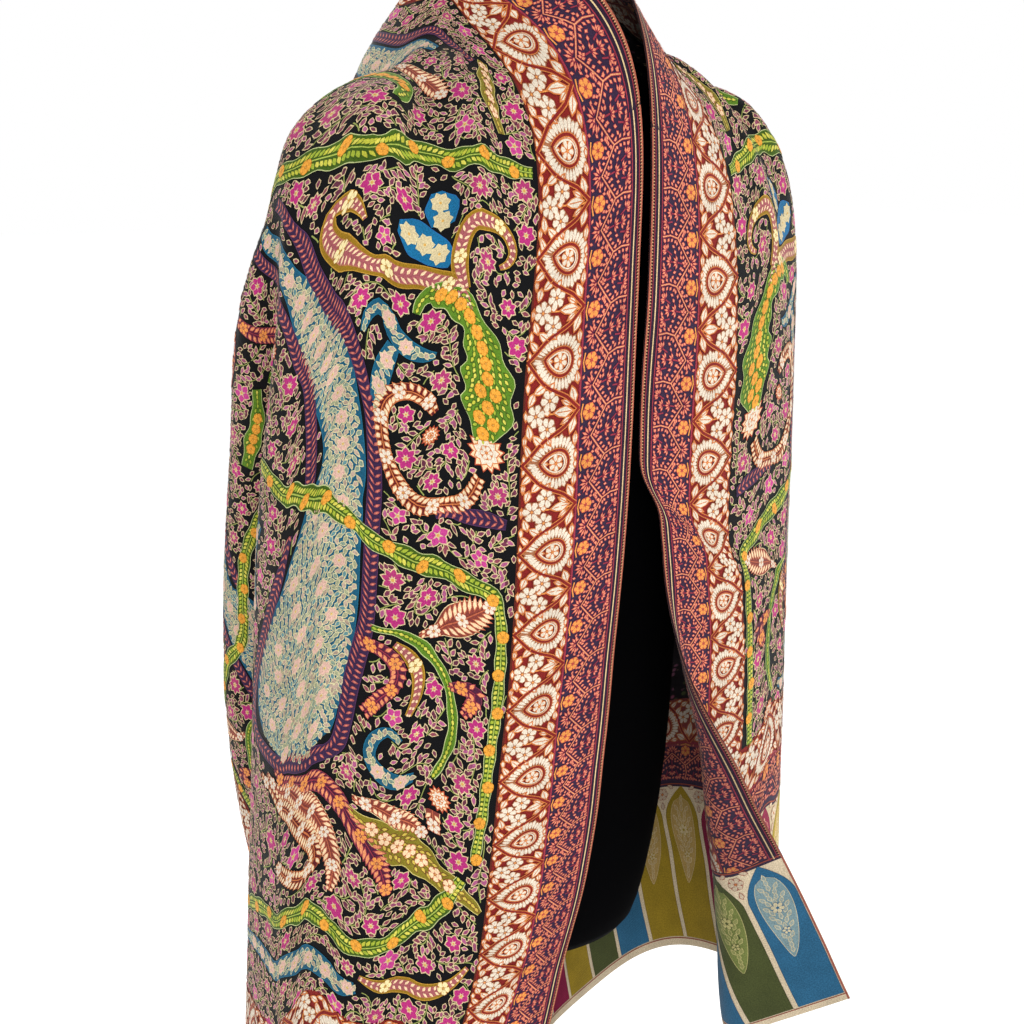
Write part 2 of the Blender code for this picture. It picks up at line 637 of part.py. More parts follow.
def build():
    clear_scene()
    finishes = {
        "field": material("field_cloth", (0.05, 0.04, 0.06), 0.85),
        "border": material("border_cloth", (0.35, 0.10, 0.08), 0.85),
        "band": material("band_cloth", (0.40, 0.08, 0.10), 0.85),
        "gates": material("gates_cloth", (0.10, 0.20, 0.35), 0.85),
    }
    jersey = material("jersey", (0.012, 0.012, 0.014), 0.9)
    metal = material("black_metal", (0.03, 0.03, 0.03), 0.45, 0.6)
    shawl = ShawlGrid()
    for name, from_across, to_across, from_down, to_down, finish in PANELS.rows:
        cloth_panel(name, shawl, (from_across, to_across), (from_down, to_down), finishes[finish])
    form_torso(jersey)
    stand(metal, jersey)


build()
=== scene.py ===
"""Pashmina shawl on a dress form: the cloth with its woven ornament, the form, its stand and the studio.

Metres, +Z up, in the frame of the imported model.  A point of the shawl is given by `along`, its distance
from the nape (below 0 on the form's right side), and `down`, its distance from the neck edge.
"""

import collections
import math

import bmesh
import bpy
import numpy as np
from bpy.props import FloatProperty, FloatVectorProperty, IntProperty, PointerProperty
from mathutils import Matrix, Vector


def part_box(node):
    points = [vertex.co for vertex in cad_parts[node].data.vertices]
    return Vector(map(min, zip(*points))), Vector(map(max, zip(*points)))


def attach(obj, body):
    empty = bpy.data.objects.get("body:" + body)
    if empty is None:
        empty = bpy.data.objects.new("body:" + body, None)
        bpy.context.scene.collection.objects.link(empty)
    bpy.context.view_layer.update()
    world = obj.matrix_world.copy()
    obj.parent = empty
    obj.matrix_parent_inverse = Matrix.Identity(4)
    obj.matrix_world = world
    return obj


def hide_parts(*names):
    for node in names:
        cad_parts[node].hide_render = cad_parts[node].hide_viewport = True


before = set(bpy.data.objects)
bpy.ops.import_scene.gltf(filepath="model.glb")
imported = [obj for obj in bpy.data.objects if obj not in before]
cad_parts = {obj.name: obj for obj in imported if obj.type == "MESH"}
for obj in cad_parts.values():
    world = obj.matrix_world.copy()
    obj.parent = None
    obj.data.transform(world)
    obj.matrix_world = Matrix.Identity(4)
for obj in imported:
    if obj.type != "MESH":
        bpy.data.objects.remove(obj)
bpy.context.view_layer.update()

bl_info = {
    "name": "Pashmina Shawl",
    "version": (1, 0, 0),
    "blender": (4, 5, 0),
    "location": "3D View > Sidebar > Shawl",
    "description": "Builds a draped pashmina shawl with woven borders, paisley field and panelled ends",
    "category": "Object",
}

BOXES = {node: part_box(node) for node in ("stand_pole", "stand_base", "stand_collar", "neck_cap")}

# ---- the shawl ----
SHAWL_WIDTH = 0.72
RIGHT_LENGTH = 1.15
LEFT_LENGTH = 0.985
END_BAND = 0.08
GATES = 0.15

# ---- how it lies over the shoulder ----
NECK_ALONG = 0.10
TIP_ALONG = 0.27
TIP_DOWN = 0.26
NAPE_BACK = 0.066
NAPE_HEIGHT = 1.515
NAPE_STAND = 0.045
# The standing part at the nape grows in over these labels before and after the side of the neck.
STAND_BEFORE = 0.15
STAND_AFTER = 0.45
STAND_BEND = 0.02
# The reach of the cloth outwards is taken at this drop and evened out over this span of labels.
REACH_DROP = 0.25
REACH_SPAN = 0.25
LEAST_REACH = 0.02
TURN_OVER = 0.875
LEAST_FALL = 0.02

# Where the pieces of the shawl meet.
RIGHT_BAND = -(RIGHT_LENGTH - GATES - END_BAND)
RIGHT_GATES = -(RIGHT_LENGTH - GATES)
LEFT_BAND = LEFT_LENGTH - GATES - END_BAND
LEFT_GATES = LEFT_LENGTH - GATES
NECK_RIGHT = -0.30
NECK_LEFT = 0.30

Table = collections.namedtuple("Table", ("columns", "rows"))

# The ridge of a shoulder: share of the way from neck to tip, distance from the middle, height.
RIDGE = Table(("share", "out", "height"), (
    (0.00, 0.058, 1.535),
    (0.20, 0.070, 1.474),
    (0.38, 0.092, 1.447),
    (0.70, 0.150, 1.426),
    (0.90, 0.184, 1.406),
    (1.00, 0.197, 1.390),
))

# How the front is crowded along the ridge: share of its cloth, share of the ridge.
CROWDING = Table(("cloth", "ridge"), (
    (0.00, 0.00),
    (0.36, 0.17),
    (0.62, 0.36),
    (1.00, 1.00),
))

# The line that the hanging cloth lies within: its half width and its depths to the front and the back.
HANG = Table(("drop", "half_width", "front", "back"), (
    (0.00, 0.222, 0.122, 0.135),
    (0.20, 0.221, 0.137, 0.175),
    (0.44, 0.220, 0.140, 0.243),
    (0.80, 0.223, 0.140, 0.256),
    (1.30, 0.228, 0.140, 0.266),
))
# How square the front half of that line is, how far it runs on past mid front, and its number of points.
FRONT_SQUARENESS = 2.25
PAST_MID_FRONT = 0.45
OUTLINE_POINTS = 420

# The front edges, as distances to the left of the middle.
EDGES = Table(("drop", "right_edge", "left_edge"), (
    (0.00, 0.025, 0.020),
    (0.12, 0.018, 0.012),
    (0.31, -0.010, -0.003),
    (0.42, -0.016, -0.009),
    (0.47, -0.019, 0.010),
    (0.57, -0.029, 0.016),
    (0.64, -0.036, 0.006),
    (0.72, -0.048, -0.012),
    (0.80, -0.070, -0.036),
    (1.03, -0.110, -0.070),
    (1.30, -0.130, -0.080),
))

# Flutes: how many have been passed at the side of the shoulder, square behind it and at mid back.
FLUTES_AT_SIDE = 0.25
FLUTES_BEHIND = 2.25
FLUTES_AT_BACK = 3.75
BACK_FLUTE_SHARE = 0.72
STEEPEST_FLUTE = 1.38
# Labels between which the flutes grow in, fade towards mid back, and take their place from the back.
FLUTES_GROW = (1.02, 1.22)
FLUTES_FADE = (2.0, 2.8)
FLUTES_FROM_BACK = (1.5, 2.0)
FLUTES_LIFT = (1.0, 1.15)
FLUTE_SPAN = 0.17

# Soft folds that run down from the neck, by label.
NECK_FOLDS_FROM = (0.30, 0.45)
NECK_FOLDS_TO = (0.80, 1.0)
NECK_FOLD_DEPTH = 0.007
NECK_FOLD_SPACING = 0.27
NECK_FOLD_DROP = 0.20
NECK_FOLD_START = 0.05

# The turned-back lapel of the left front.
LAPEL_START = 0.59
LAPEL_ANGLE = math.radians(18)
LAPEL_RADIUS = 0.020
LAPEL_TURN_TOP = math.radians(150)
LAPEL_TURN_BOTTOM = math.radians(115)
LAPEL_PROBE = 0.004

# ---- working tables ----
DROP_STEP = 0.006
DROP_MOST = 1.30
LABEL_STEP = 0.004
HALVINGS = 24


def smooth_step(value, low, high):
    share = np.clip((np.asarray(value, float) - low) / (high - low), 0, 1)
    return share * share * (3 - 2 * share)


def smooth_table(table, position, column):
    """A column of a table at any position, on a curve with no overshoot between the rows."""
    rows = np.array(table.rows)
    known, values = rows[:, 0], rows[:, table.columns.index(column)]
    secants = np.diff(values) / np.diff(known)
    product = secants[:-1] * secants[1:]
    total = np.where(product > 0, secants[:-1] + secants[1:], 1)
    turning = np.where(product > 0, 2 * product / total, 0)
    slopes = np.concatenate([secants[:1], turning, secants[-1:]])
    position = np.clip(position, known[0], known[-1])
    index = np.clip(np.searchsorted(known, position) - 1, 0, len(known) - 2)
    span = known[index + 1] - known[index]
    share = (position - known[index]) / span
    start = values[index] + share * span * slopes[index]
    end = values[index + 1] - (1 - share) * span * slopes[index + 1]
    blend = share * share * (3 - 2 * share)
    return start * (1 - blend) + end * blend


def blurred(values, half_steps):
    """Mean over a window along the second axis, with the ends mirrored."""
    padded = np.pad(values, ((0, 0), (half_steps, half_steps)), mode="reflect")
    total = np.cumsum(np.pad(padded, ((0, 0), (1, 0))), axis=1)
    window = 2 * half_steps + 1
    return (total[:, window:] - total[:, :-window]) / window


class Drape:
    """One side of the shawl, as a table of places by drop and by label round the ring.

    The label is 0 at the front edge, 1 in front of the shoulder tip, 2 behind it and 3 at mid back.
    """

    def __init__(self, side, edge_column):
        self.side = side
        self.drops = np.arange(0, DROP_MOST + DROP_STEP, DROP_STEP)
        self.labels = np.arange(0, 3 + LABEL_STEP / 2, LABEL_STEP)
        ring_x, ring_y = self.rings(edge_column)
        base = self.ridge_line()
        reach = np.hypot(ring_x - base[:, 0], ring_y - base[:, 1])
        reach = blurred(reach[[np.searchsorted(self.drops, REACH_DROP)]], int(REACH_SPAN / LABEL_STEP))[0]
        scale = np.maximum(reach, LEAST_REACH) / TURN_OVER
        stand = NAPE_STAND * smooth_step(self.labels, NECK_LABEL - STAND_BEFORE, NECK_LABEL + STAND_AFTER)
        past = self.drops[:, None] - stand
        past = (past + np.hypot(past, STAND_BEND)) / 2 - (np.hypot(stand, STAND_BEND) - stand) / 2
        eased = np.vectorize(math.erf)(past / scale[None, :])
        x = base[:, 0] + (ring_x - base[:, 0]) * eased
        y = base[:, 1] + (ring_y - base[:, 1]) * eased
        x, y = self.near_neck_folds(x, y)
        travel = np.hypot(np.diff(x, axis=0), np.diff(y, axis=0))
        fall = np.sqrt(np.maximum(DROP_STEP**2 - travel**2, (LEAST_FALL * DROP_STEP) ** 2))
        z = base[:, 2] - np.vstack([np.zeros(len(self.labels)), np.cumsum(fall, axis=0)])
        self.table = np.stack([side * x, y, z], axis=2)

    def ridge_line(self):
        """Where each label crosses the ridge or, behind the neck, the loose upper edge."""
        labels = self.labels
        back_share = np.clip((NECK_LABEL - labels) / (NECK_LABEL - 2), 0, 1)
        share = smooth_table(CROWDING, np.where(labels > 2, back_share, np.minimum(labels, 1)), "ridge")
        height = smooth_table(RIDGE, share, "height")
        turn = np.clip((labels - NECK_LABEL) / (3 - NECK_LABEL), 0, 1) * math.pi / 2
        out = smooth_table(RIDGE, share, "out") * np.cos(turn)
        back = NAPE_BACK * np.sin(turn)
        height = height + (NAPE_HEIGHT - height) * np.sin(turn) ** 2
        return np.stack([out, back, height], axis=1)

    def rings(self, edge_column):
        """The plan of each ring, with its flutes."""
        drops, labels = self.drops[:, None], self.labels[None, :]
        middle = labels[:, 1:] - LABEL_STEP / 2
        per_label = np.where(middle < 1, TIP_DOWN, np.where(middle < 2, drops * math.pi / 2, TIP_ALONG))
        cloth = per_label * LABEL_STEP
        counts = (FLUTES_AT_SIDE, FLUTES_AT_SIDE, FLUTES_BEHIND, FLUTES_AT_BACK)
        passed = np.interp(middle, (0, 1, 2, 3), counts)
        wave = np.cos(2 * math.pi * passed)
        fading = (1 - BACK_FLUTE_SHARE) * smooth_step(middle, *FLUTES_FADE)
        fullness = smooth_step(middle, *FLUTES_GROW) * (1 - fading)
        edge = self.side * smooth_table(EDGES, self.drops, edge_column)
        outlines = [self.outline(drop) for drop in self.drops]
        lengths = np.array([outline[0][-1] for outline in outlines])
        low = np.zeros(len(self.drops))
        high = np.full(len(self.drops), STEEPEST_FLUTE)
        for _ in range(HALVINGS):
            tried = (low + high) / 2
            covered = edge + (np.cos(tried[:, None] * fullness * wave) * cloth).sum(axis=1)
            low = np.where(covered > lengths, tried, low)
            high = np.where(covered > lengths, high, tried)
        closing = SHAWL_WIDTH - TIP_DOWN
        tilt = np.where(self.drops > closing, np.interp(closing, self.drops, low), low)
        slope = tilt[:, None] * fullness * wave
        start = np.zeros((len(self.drops), 1))
        fluted = (np.cos(slope) * cloth * fullness).sum(axis=1)
        excess = edge + (np.cos(slope) * cloth).sum(axis=1) - lengths
        crush = np.where(fluted > 0, excess / np.maximum(fluted, 0.01), 0)
        crush = np.where(self.drops > closing, np.interp(closing, self.drops, crush), crush)
        paced = np.cos(slope) * cloth * (1 - crush[:, None] * fullness)
        from_edge = np.hstack([start, np.cumsum(paced, axis=1)])
        from_back = lengths[:, None] - (from_edge[:, -1:] - from_edge)
        run = edge[:, None] + from_edge
        run = run + (from_back - run) * smooth_step(labels, *FLUTES_FROM_BACK)
        lift = np.hstack([start, np.cumsum(np.sin(slope) * cloth, axis=1)])
        half_window = int(FLUTE_SPAN / LABEL_STEP)
        lift = lift - blurred(blurred(lift, half_window), half_window // 2)
        depth = np.sqrt(2 * blurred(blurred(lift**2, half_window), half_window // 2))
        lift = (lift - depth) * smooth_step(labels, *FLUTES_LIFT)
        x, y = np.empty_like(run), np.empty_like(run)
        for row, (path, path_x, path_y, out_x, out_y) in enumerate(outlines):
            at = np.clip(run[row], path[0], path[-1])
            x[row] = np.interp(at, path, path_x) + lift[row] * np.interp(at, path, out_x)
            y[row] = np.interp(at, path, path_y) + lift[row] * np.interp(at, path, out_y)
        return x, y

    def outline(self, drop):
        """Half of the line that the cloth hangs within, from mid front to mid back, by its length."""
        half_width, front, back = (float(smooth_table(HANG, drop, column)) for column in HANG.columns[1:])
        angle = np.linspace(-PAST_MID_FRONT, math.pi, OUTLINE_POINTS)
        power = np.where(np.cos(angle) > 0, 2 / FRONT_SQUARENESS, 1.0)
        sine, cosine = np.sin(angle), np.cos(angle)
        depth = np.where(cosine > 0, front, back)
        x = half_width * np.sign(sine) * np.abs(sine) ** power
        y = -depth * np.sign(cosine) * np.abs(cosine) ** power
        step = np.hypot(np.diff(x), np.diff(y))
        path = np.concatenate([[0], np.cumsum(step)])
        path = path - np.interp(0, angle, path)
        along_x, along_y = np.gradient(x, path), np.gradient(y, path)
        size = np.hypot(along_x, along_y)
        return path, x, y, along_y / size, -along_x / size

    def near_neck_folds(self, x, y):
        """Soft folds that run down from the neck, where the cloth is crowded on the ridge."""
        drops, labels = self.drops[:, None], self.labels[None, :]
        crowd = smooth_step(labels, *NECK_FOLDS_FROM) * (1 - smooth_step(labels, *NECK_FOLDS_TO))
        fade = np.exp(-((drops / NECK_FOLD_DROP) ** 2)) * smooth_step(drops, 0.0, NECK_FOLD_START)
        depth = NECK_FOLD_DEPTH * fade * crowd
        wave = np.cos(2 * math.pi * labels / NECK_FOLD_SPACING)
        return x, y - depth * (1 + wave) / 2

    def at(self, along, down):
        """The place of each point of the cloth."""
        drop, label = self.ring_place(np.asarray(along, float), np.asarray(down, float))
        return self.look_up(drop, label)

    def ring_place(self, along, down):
        shift = (TIP_ALONG - NECK_ALONG) * np.clip(down / TIP_DOWN, 0, 1)
        ridge_along = NECK_ALONG + shift
        ridge_down = TIP_DOWN * np.clip((along - NECK_ALONG) / (TIP_ALONG - NECK_ALONG), 0, 1)
        in_front = (down < TIP_DOWN) & (along >= ridge_along)
        behind = (along < TIP_ALONG) & ~in_front
        past_along, past_down = along - TIP_ALONG, down - TIP_DOWN
        turn = np.arctan2(past_down, np.maximum(past_along, 0)) / (math.pi / 2)
        drop = np.where(in_front, along - ridge_along, np.hypot(past_along, past_down))
        drop = np.where(behind, down - ridge_down, drop)
        label = np.where(in_front, down / TIP_DOWN, 1 + np.clip(turn, 0, 1))
        label = np.where(behind, 2 + (TIP_ALONG - along) / TIP_ALONG, label)
        return drop, label

    def look_up(self, drop, label):
        """Cubic reading of the table."""
        rows = np.clip(drop / DROP_STEP, 0, len(self.drops) - 1.001)
        columns = np.clip(label / LABEL_STEP, 0, len(self.labels) - 1.001)
        row, column = rows.astype(int), columns.astype(int)
        row_weights, column_weights = cubic_weights(rows - row), cubic_weights(columns - column)
        place = np.zeros(np.shape(drop) + (3,))
        for i in range(4):
            at_row = np.clip(row + i - 1, 0, len(self.drops) - 1)
            for j in range(4):
                at_column = np.clip(column + j - 1, 0, len(self.labels) - 1)
                weight = row_weights[i] * column_weights[j]
                place += weight[..., None] * self.table[at_row, at_column]
        return place


def cubic_weights(share):
    return (
        -0.5 * share + share**2 - 0.5 * share**3,
        1 - 2.5 * share**2 + 1.5 * share**3,
        0.5 * share + 2 * share**2 - 1.5 * share**3,
        -0.5 * share**2 + 0.5 * share**3,
    )


NECK_LABEL = 3 - NECK_ALONG / TIP_ALONG
RIGHT = Drape(-1, "right_edge")
LEFT = Drape(1, "left_edge")


def with_lapel(along, down):
    """The left side, whose front corner rolls outwards about a slanting line."""
    sine, cosine = math.sin(LAPEL_ANGLE), math.cos(LAPEL_ANGLE)
    from_start = along - LAPEL_START
    fold_length = from_start * cosine + down * sine
    past = from_start * sine - down * cosine
    rolled = (past > 0) & (from_start > 0)
    fold_along = np.where(rolled, LAPEL_START + fold_length * cosine, along)
    fold_down = np.where(rolled, fold_length * sine, down)
    place = LEFT.at(fold_along, fold_down)
    step_sine, step_cosine = LAPEL_PROBE * sine, LAPEL_PROBE * cosine
    across = LEFT.at(fold_along + step_sine, fold_down - step_cosine) - place
    lengthwise = LEFT.at(fold_along + step_cosine, fold_down + step_sine) - place
    across /= np.linalg.norm(across, axis=-1, keepdims=True)
    outwards = np.cross(lengthwise, across)
    outwards /= np.maximum(np.linalg.norm(outwards, axis=-1, keepdims=True), 1e-9)
    outwards *= np.where(outwards[..., 1:2] > 0, -1, 1)
    whole = (LEFT_LENGTH - LAPEL_START) / cosine
    turn = LAPEL_TURN_TOP + (LAPEL_TURN_BOTTOM - LAPEL_TURN_TOP) * np.clip(fold_length / whole, 0, 1)
    past = np.where(rolled, past, 0)
    bent = np.minimum(past / LAPEL_RADIUS, turn)
    straight = past - bent * LAPEL_RADIUS
    towards = LAPEL_RADIUS * np.sin(bent) + straight * np.cos(turn)
    away = LAPEL_RADIUS * (1 - np.cos(bent)) + straight * np.sin(turn)
    return place + towards[..., None] * across + away[..., None] * outwards


def cloth_at(across_neck, down):
    """The middle of the wall.  `across_neck` is below 0 on the right side and above 0 on the left."""
    across_neck = np.asarray(across_neck, float)
    down = np.asarray(down, float)
    right = RIGHT.at(np.maximum(-across_neck, 0), down)
    left = with_lapel(np.maximum(across_neck, 0), down)
    return np.where((across_neck < 0)[..., None], right, left)


def grid_lines(low, high, fixed, spacing):
    """Grid lines from low to high through the fixed places, with a spacing that depends on place."""
    stops = [low] + [stop for stop in fixed if low < stop < high] + [high]
    lines = [low]
    for start, end in zip(stops, stops[1:]):
        count = max(1, round((end - start) / spacing((start + end) / 2)))
        lines += [start + (end - start) * (index + 1) / count for index in range(count)]
    return np.array(lines)


# ---- the cloth in fine cells ----
CELL = 0.0056
SHARP_ANGLE = math.radians(60)
# Drops between which the rounding of the ridge fades out, and its two spreads in cells.
RIDGE_ROUNDED = (0.035, 0.075)
RIDGE_SPREAD = 2.2
HEIGHT_SPREAD = 2.6
# How far a crease bows, in half widths, and where along it it has come in and begins to fade.
CREASE_BOW = 0.8
CREASE_IN = 0.35
CREASE_OUT = 0.6

# Soft creases, as ridges (above 0) or troughs (below 0): from and to in cloth sizes, half width, height.
CREASES = Table(("from_along", "from_down", "to_along", "to_down", "half_width", "height"), (
    (-0.15, 0.10, -0.34, 0.125, 0.009, 0.0030),
    (-0.17, 0.14, -0.40, 0.150, 0.010, -0.0026),
    (-0.14, 0.17, -0.36, 0.185, 0.011, 0.0026),
    (-0.20, 0.12, -0.31, 0.140, 0.007, -0.0022),
    (-0.30, 0.21, -0.62, 0.205, 0.016, -0.0022),
    (-0.36, 0.165, -0.70, 0.160, 0.018, 0.0016),
    (-0.52, 0.135, -0.90, 0.125, 0.020, -0.0018),
    (-0.60, 0.235, -0.95, 0.240, 0.018, 0.0022),
    (-0.70, 0.185, -1.10, 0.190, 0.022, 0.0020),
    (-0.45, 0.075, -0.78, 0.070, 0.022, 0.0012),
    (-0.66, 0.030, -1.05, 0.035, 0.020, -0.0015),
    (-0.33, 0.30, -0.48, 0.330, 0.012, 0.0020),
    (-0.50, 0.42, -0.80, 0.400, 0.016, 0.0020),
    (-0.62, 0.50, -1.00, 0.520, 0.015, -0.0022),
    (-0.55, 0.57, -0.92, 0.600, 0.016, 0.0024),
    (-0.10, 0.12, -0.12, 0.300, 0.012, 0.0022),
    (-0.05, 0.16, -0.06, 0.420, 0.014, -0.0020),
    (0.02, 0.12, 0.03, 0.380, 0.014, 0.0020),
    (0.09, 0.13, 0.10, 0.330, 0.012, -0.0024),
    (0.14, 0.15, 0.17, 0.450, 0.014, 0.0022),
    (-0.16, 0.24, -0.20, 0.520, 0.016, 0.0020),
    (0.16, 0.10, 0.33, 0.120, 0.009, 0.0028),
    (0.17, 0.15, 0.36, 0.160, 0.011, -0.0024),
    (0.20, 0.19, 0.48, 0.200, 0.014, 0.0022),
    (0.34, 0.11, 0.58, 0.125, 0.016, -0.0018),
    (0.45, 0.16, 0.80, 0.175, 0.018, 0.0022),
    (0.50, 0.24, 0.90, 0.250, 0.018, -0.0020),
    (0.48, 0.40, 0.75, 0.420, 0.016, 0.0020),
    (0.55, 0.52, 0.85, 0.500, 0.016, -0.0020),
))


def creases(along, down):
    """Height of all the creases at each point of the cloth."""
    height = np.zeros_like(along)
    for from_along, from_down, to_along, to_down, half_width, peak in CREASES.rows:
        way = np.array([to_along - from_along, to_down - from_down])
        length = np.hypot(*way)
        way /= length
        lengthwise = (along - from_along) * way[0] + (down - from_down) * way[1]
        sideways = (down - from_down) * way[0] - (along - from_along) * way[1]
        bend = half_width * CREASE_BOW * np.sin(lengthwise / length * 2 * math.pi)
        fade = smooth_step(lengthwise, length * CREASE_OUT, length)
        taper = smooth_step(lengthwise, 0, length * CREASE_IN) * (1 - fade)
        height += peak * taper * np.exp(-(((sideways - bend) / half_width) ** 2))
    return height


def evened(values, spread):
    """A grid of places with each one a mean of those near it, by a bell of this many cells."""
    reach = int(3 * spread) + 1
    weights = np.exp(-0.5 * (np.arange(-reach, reach + 1) / spread) ** 2)
    weights /= weights.sum()
    for axis in (0, 1):
        margins = [(0, 0)] * 3
        margins[axis] = (reach, reach)
        padded = np.pad(values, margins, mode="reflect", reflect_type="odd")
        shape = values.shape[axis]
        shifted = (np.take(padded, range(step, step + shape), axis) for step in range(len(weights)))
        values = sum(weight * part for weight, part in zip(weights, shifted))
    return values


def grid_faces(index):
    """Two triangles for each cell of a grid of point numbers."""
    a, b, c, d = (part.ravel() for part in (index[:-1, :-1], index[1:, :-1], index[1:, 1:], index[:-1, 1:]))
    return np.concatenate([np.stack([a, b, c], 1), np.stack([a, c, d], 1)])


class FineCloth:
    """The middle of the cloth and the way square to it, on a fine grid."""

    def __init__(self, wall):
        self.wall = wall
        stops = (RIGHT_BAND, NECK_RIGHT, 0.0, NECK_LEFT, LEFT_BAND)
        self.along = grid_lines(-RIGHT_LENGTH, LEFT_LENGTH, stops, lambda place: CELL)
        self.down = grid_lines(0.0, SHAWL_WIDTH, (), lambda place: CELL)
        across, deep = np.meshgrid(self.along, self.down, indexing="ij")
        self.middle = self.rounded_ridge(cloth_at(across, deep), across, deep)
        self.normal = self.square()
        self.middle += self.normal * creases(across, deep)[..., None]
        self.normal = self.square()

    def rounded_ridge(self, middle, across, deep):
        """The shoulder ridge as a soft round turn, at the same height."""
        drop, _ = RIGHT.ring_place(abs(across), deep)
        near = (1 - smooth_step(drop, *RIDGE_ROUNDED))[..., None]
        lost = evened(middle, RIDGE_SPREAD) - middle
        return middle + near * (lost - evened(lost, HEIGHT_SPREAD))

    def square(self):
        middle = self.middle
        cells = np.cross(middle[1:, 1:] - middle[:-1, :-1], middle[1:, :-1] - middle[:-1, 1:])
        cells /= np.maximum(np.linalg.norm(cells, axis=-1, keepdims=True), 1e-12)
        normals = np.zeros_like(middle)
        for rows in (slice(0, -1), slice(1, None)):
            for columns in (slice(0, -1), slice(1, None)):
                normals[rows, columns] += cells
        normals /= np.linalg.norm(normals, axis=-1, keepdims=True)
        return normals * np.sign(-normals[1, 1, 1])

    def read(self, along, down):
        """Middle and normal at any points, on the same triangles as the shells."""
        along = np.clip(along, self.along[0], self.along[-1])
        down = np.clip(down, self.down[0], self.down[-1])
        i = np.clip(np.searchsorted(self.along, along) - 1, 0, len(self.along) - 2)
        j = np.clip(np.searchsorted(self.down, down) - 1, 0, len(self.down) - 2)
        s = ((along - self.along[i]) / (self.along[i + 1] - self.along[i]))[:, None]
        t = ((down - self.down[j]) / (self.down[j + 1] - self.down[j]))[:, None]
        found = []
        for grid in (self.middle, self.normal):
            near, far = grid[i, j], grid[i + 1, j + 1]
            over = near + s * (grid[i + 1, j] - near) + t * (far - grid[i + 1, j])
            under = near + t * (grid[i, j + 1] - near) + s * (far - grid[i, j + 1])
            found.append(np.where(s >= t, over, under))
        return found


def new_mesh_object(name, points, faces, finishes):
    mesh = bpy.data.meshes.new(name)
    mesh.from_pydata(points, [], faces)
    for finish in finishes:
        mesh.materials.append(finish)
    made = bpy.data.objects.new(name, mesh)
    bpy.context.scene.collection.objects.link(made)
    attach(made, "root")
    return made


def cloth_shell(name, cloth, low, high, finishes):
    """One length of the shawl as a thin closed wall: outer face, reverse face and rim."""
    first = int(np.argmin(abs(cloth.along - low)))
    last = int(np.argmin(abs(cloth.along - high)))
    middle = cloth.middle[first : last + 1]
    normal = cloth.normal[first : last + 1]
    rows, columns = middle.shape[:2]
    points = np.concatenate([(middle + side * normal * cloth.wall / 2).reshape(-1, 3) for side in (1, -1)])
    shift = rows * columns
    index = np.arange(shift).reshape(rows, columns)
    front = grid_faces(index)
    reverse = front[:, ::-1] + shift
    rim = np.concatenate([index[:, 0], index[-1, 1:], index[-2::-1, -1], index[0, -2:0:-1]])
    ahead = np.roll(rim, -1)
    upper, lower = np.stack([rim, ahead + shift, ahead], 1), np.stack([rim, rim + shift, ahead + shift], 1)
    made = new_mesh_object(name, points, np.concatenate([front, reverse, upper, lower]).tolist(), finishes)
    mesh = made.data
    material_index = np.zeros(len(mesh.polygons), np.int32)
    material_index[len(front) : 2 * len(front)] = 1
    mesh.polygons.foreach_set("material_index", material_index)
    across, deep = np.meshgrid(cloth.along[first : last + 1], cloth.down, indexing="ij")
    flat = np.tile(np.stack([across, deep], -1).reshape(-1, 2), (2, 1))
    set_flat_map(mesh, flat)
    mesh.shade_smooth()
    mesh.set_sharp_from_angle(angle=SHARP_ANGLE)
    return made


def set_flat_map(mesh, flat):
    """The place of each point on the uncut cloth, in metres, as the map `cloth`."""
    layer = mesh.uv_layers.new(name="cloth")
    corners = np.empty(len(mesh.loops), np.int32)
    mesh.loops.foreach_get("vertex_index", corners)
    layer.data.foreach_set("uv", flat[corners].astype(np.float32).ravel())


# ---- ornament ----
FIRST_LIFT = 0.00022
LAYER_LIFT = 0.00010
PADDING = 0.00016
EYE_SHARE = 0.42
MILLIMETRES = 1000

# Distances from a long edge at which the borders change.
EDGE_STRIP = 0.0098
LATTICE_END = 0.045
ROSETTE_END = 0.087


def colour(code):
    """Linear colour of a web code."""
    parts = (int(code[place : place + 2], 16) / 255 for place in (1, 3, 5))
    return tuple(part / 12.92 if part <= 0.04045 else ((part + 0.055) / 1.055) ** 2.4 for part in parts)


def palette(*codes):
    return np.array([colour(code) for code in codes])


Shape = collections.namedtuple("Shape", ("points", "depth", "faces"))


def motif(rim, inner, faces):
    """A flat motif from its rim, the points inside it as (x, y, depth), and its faces."""
    points = np.array([*rim, *(place[:2] for place in inner)])
    return Shape(points, np.array([0] * len(rim) + [depth for _, _, depth in inner]), np.array(faces))


def fan(sides):
    """Faces from each side of a rim to the one point inside it."""
    return [(side, sides, (side + 1) % sides) for side in range(sides)]


RIDGED = ((0, 6, 1), (1, 7, 2), (1, 6, 7), (2, 7, 3), (3, 7, 4), (4, 6, 5), (4, 7, 6), (5, 6, 0))
LEAF = motif(((-0.5, 0), (-0.2, 0.5), (0.18, 0.38), (0.5, 0), (0.18, -0.38), (-0.2, -0.5)),
             ((-0.2, 0, 0.44), (0.2, 0, 0.34)), RIDGED)
SMALL_LEAF = motif(((-0.5, 0), (-0.14, 0.5), (0.22, 0.36), (0.5, 0), (0.22, -0.36), (-0.14, -0.5)),
                   ((0, 0, 0.44),), fan(6))
PETAL = motif(((0, 0), (0.42, 0.40), (0.80, 0.46), (1, 0), (0.80, -0.46), (0.42, -0.40)),
              ((0.45, 0, 0.38), (0.78, 0, 0.36)), RIDGED)
POINTED = motif(((0.05, 0), (0.40, 0.5), (0.72, 0.36), (1.0, 0), (0.72, -0.36), (0.40, -0.5)),
                ((0.52, 0, 0.44),), fan(6))
DASH = motif(((-0.5, 0), (0, 0.5), (0.5, 0), (0, -0.5)), ((0, 0, 0.62),), fan(4))
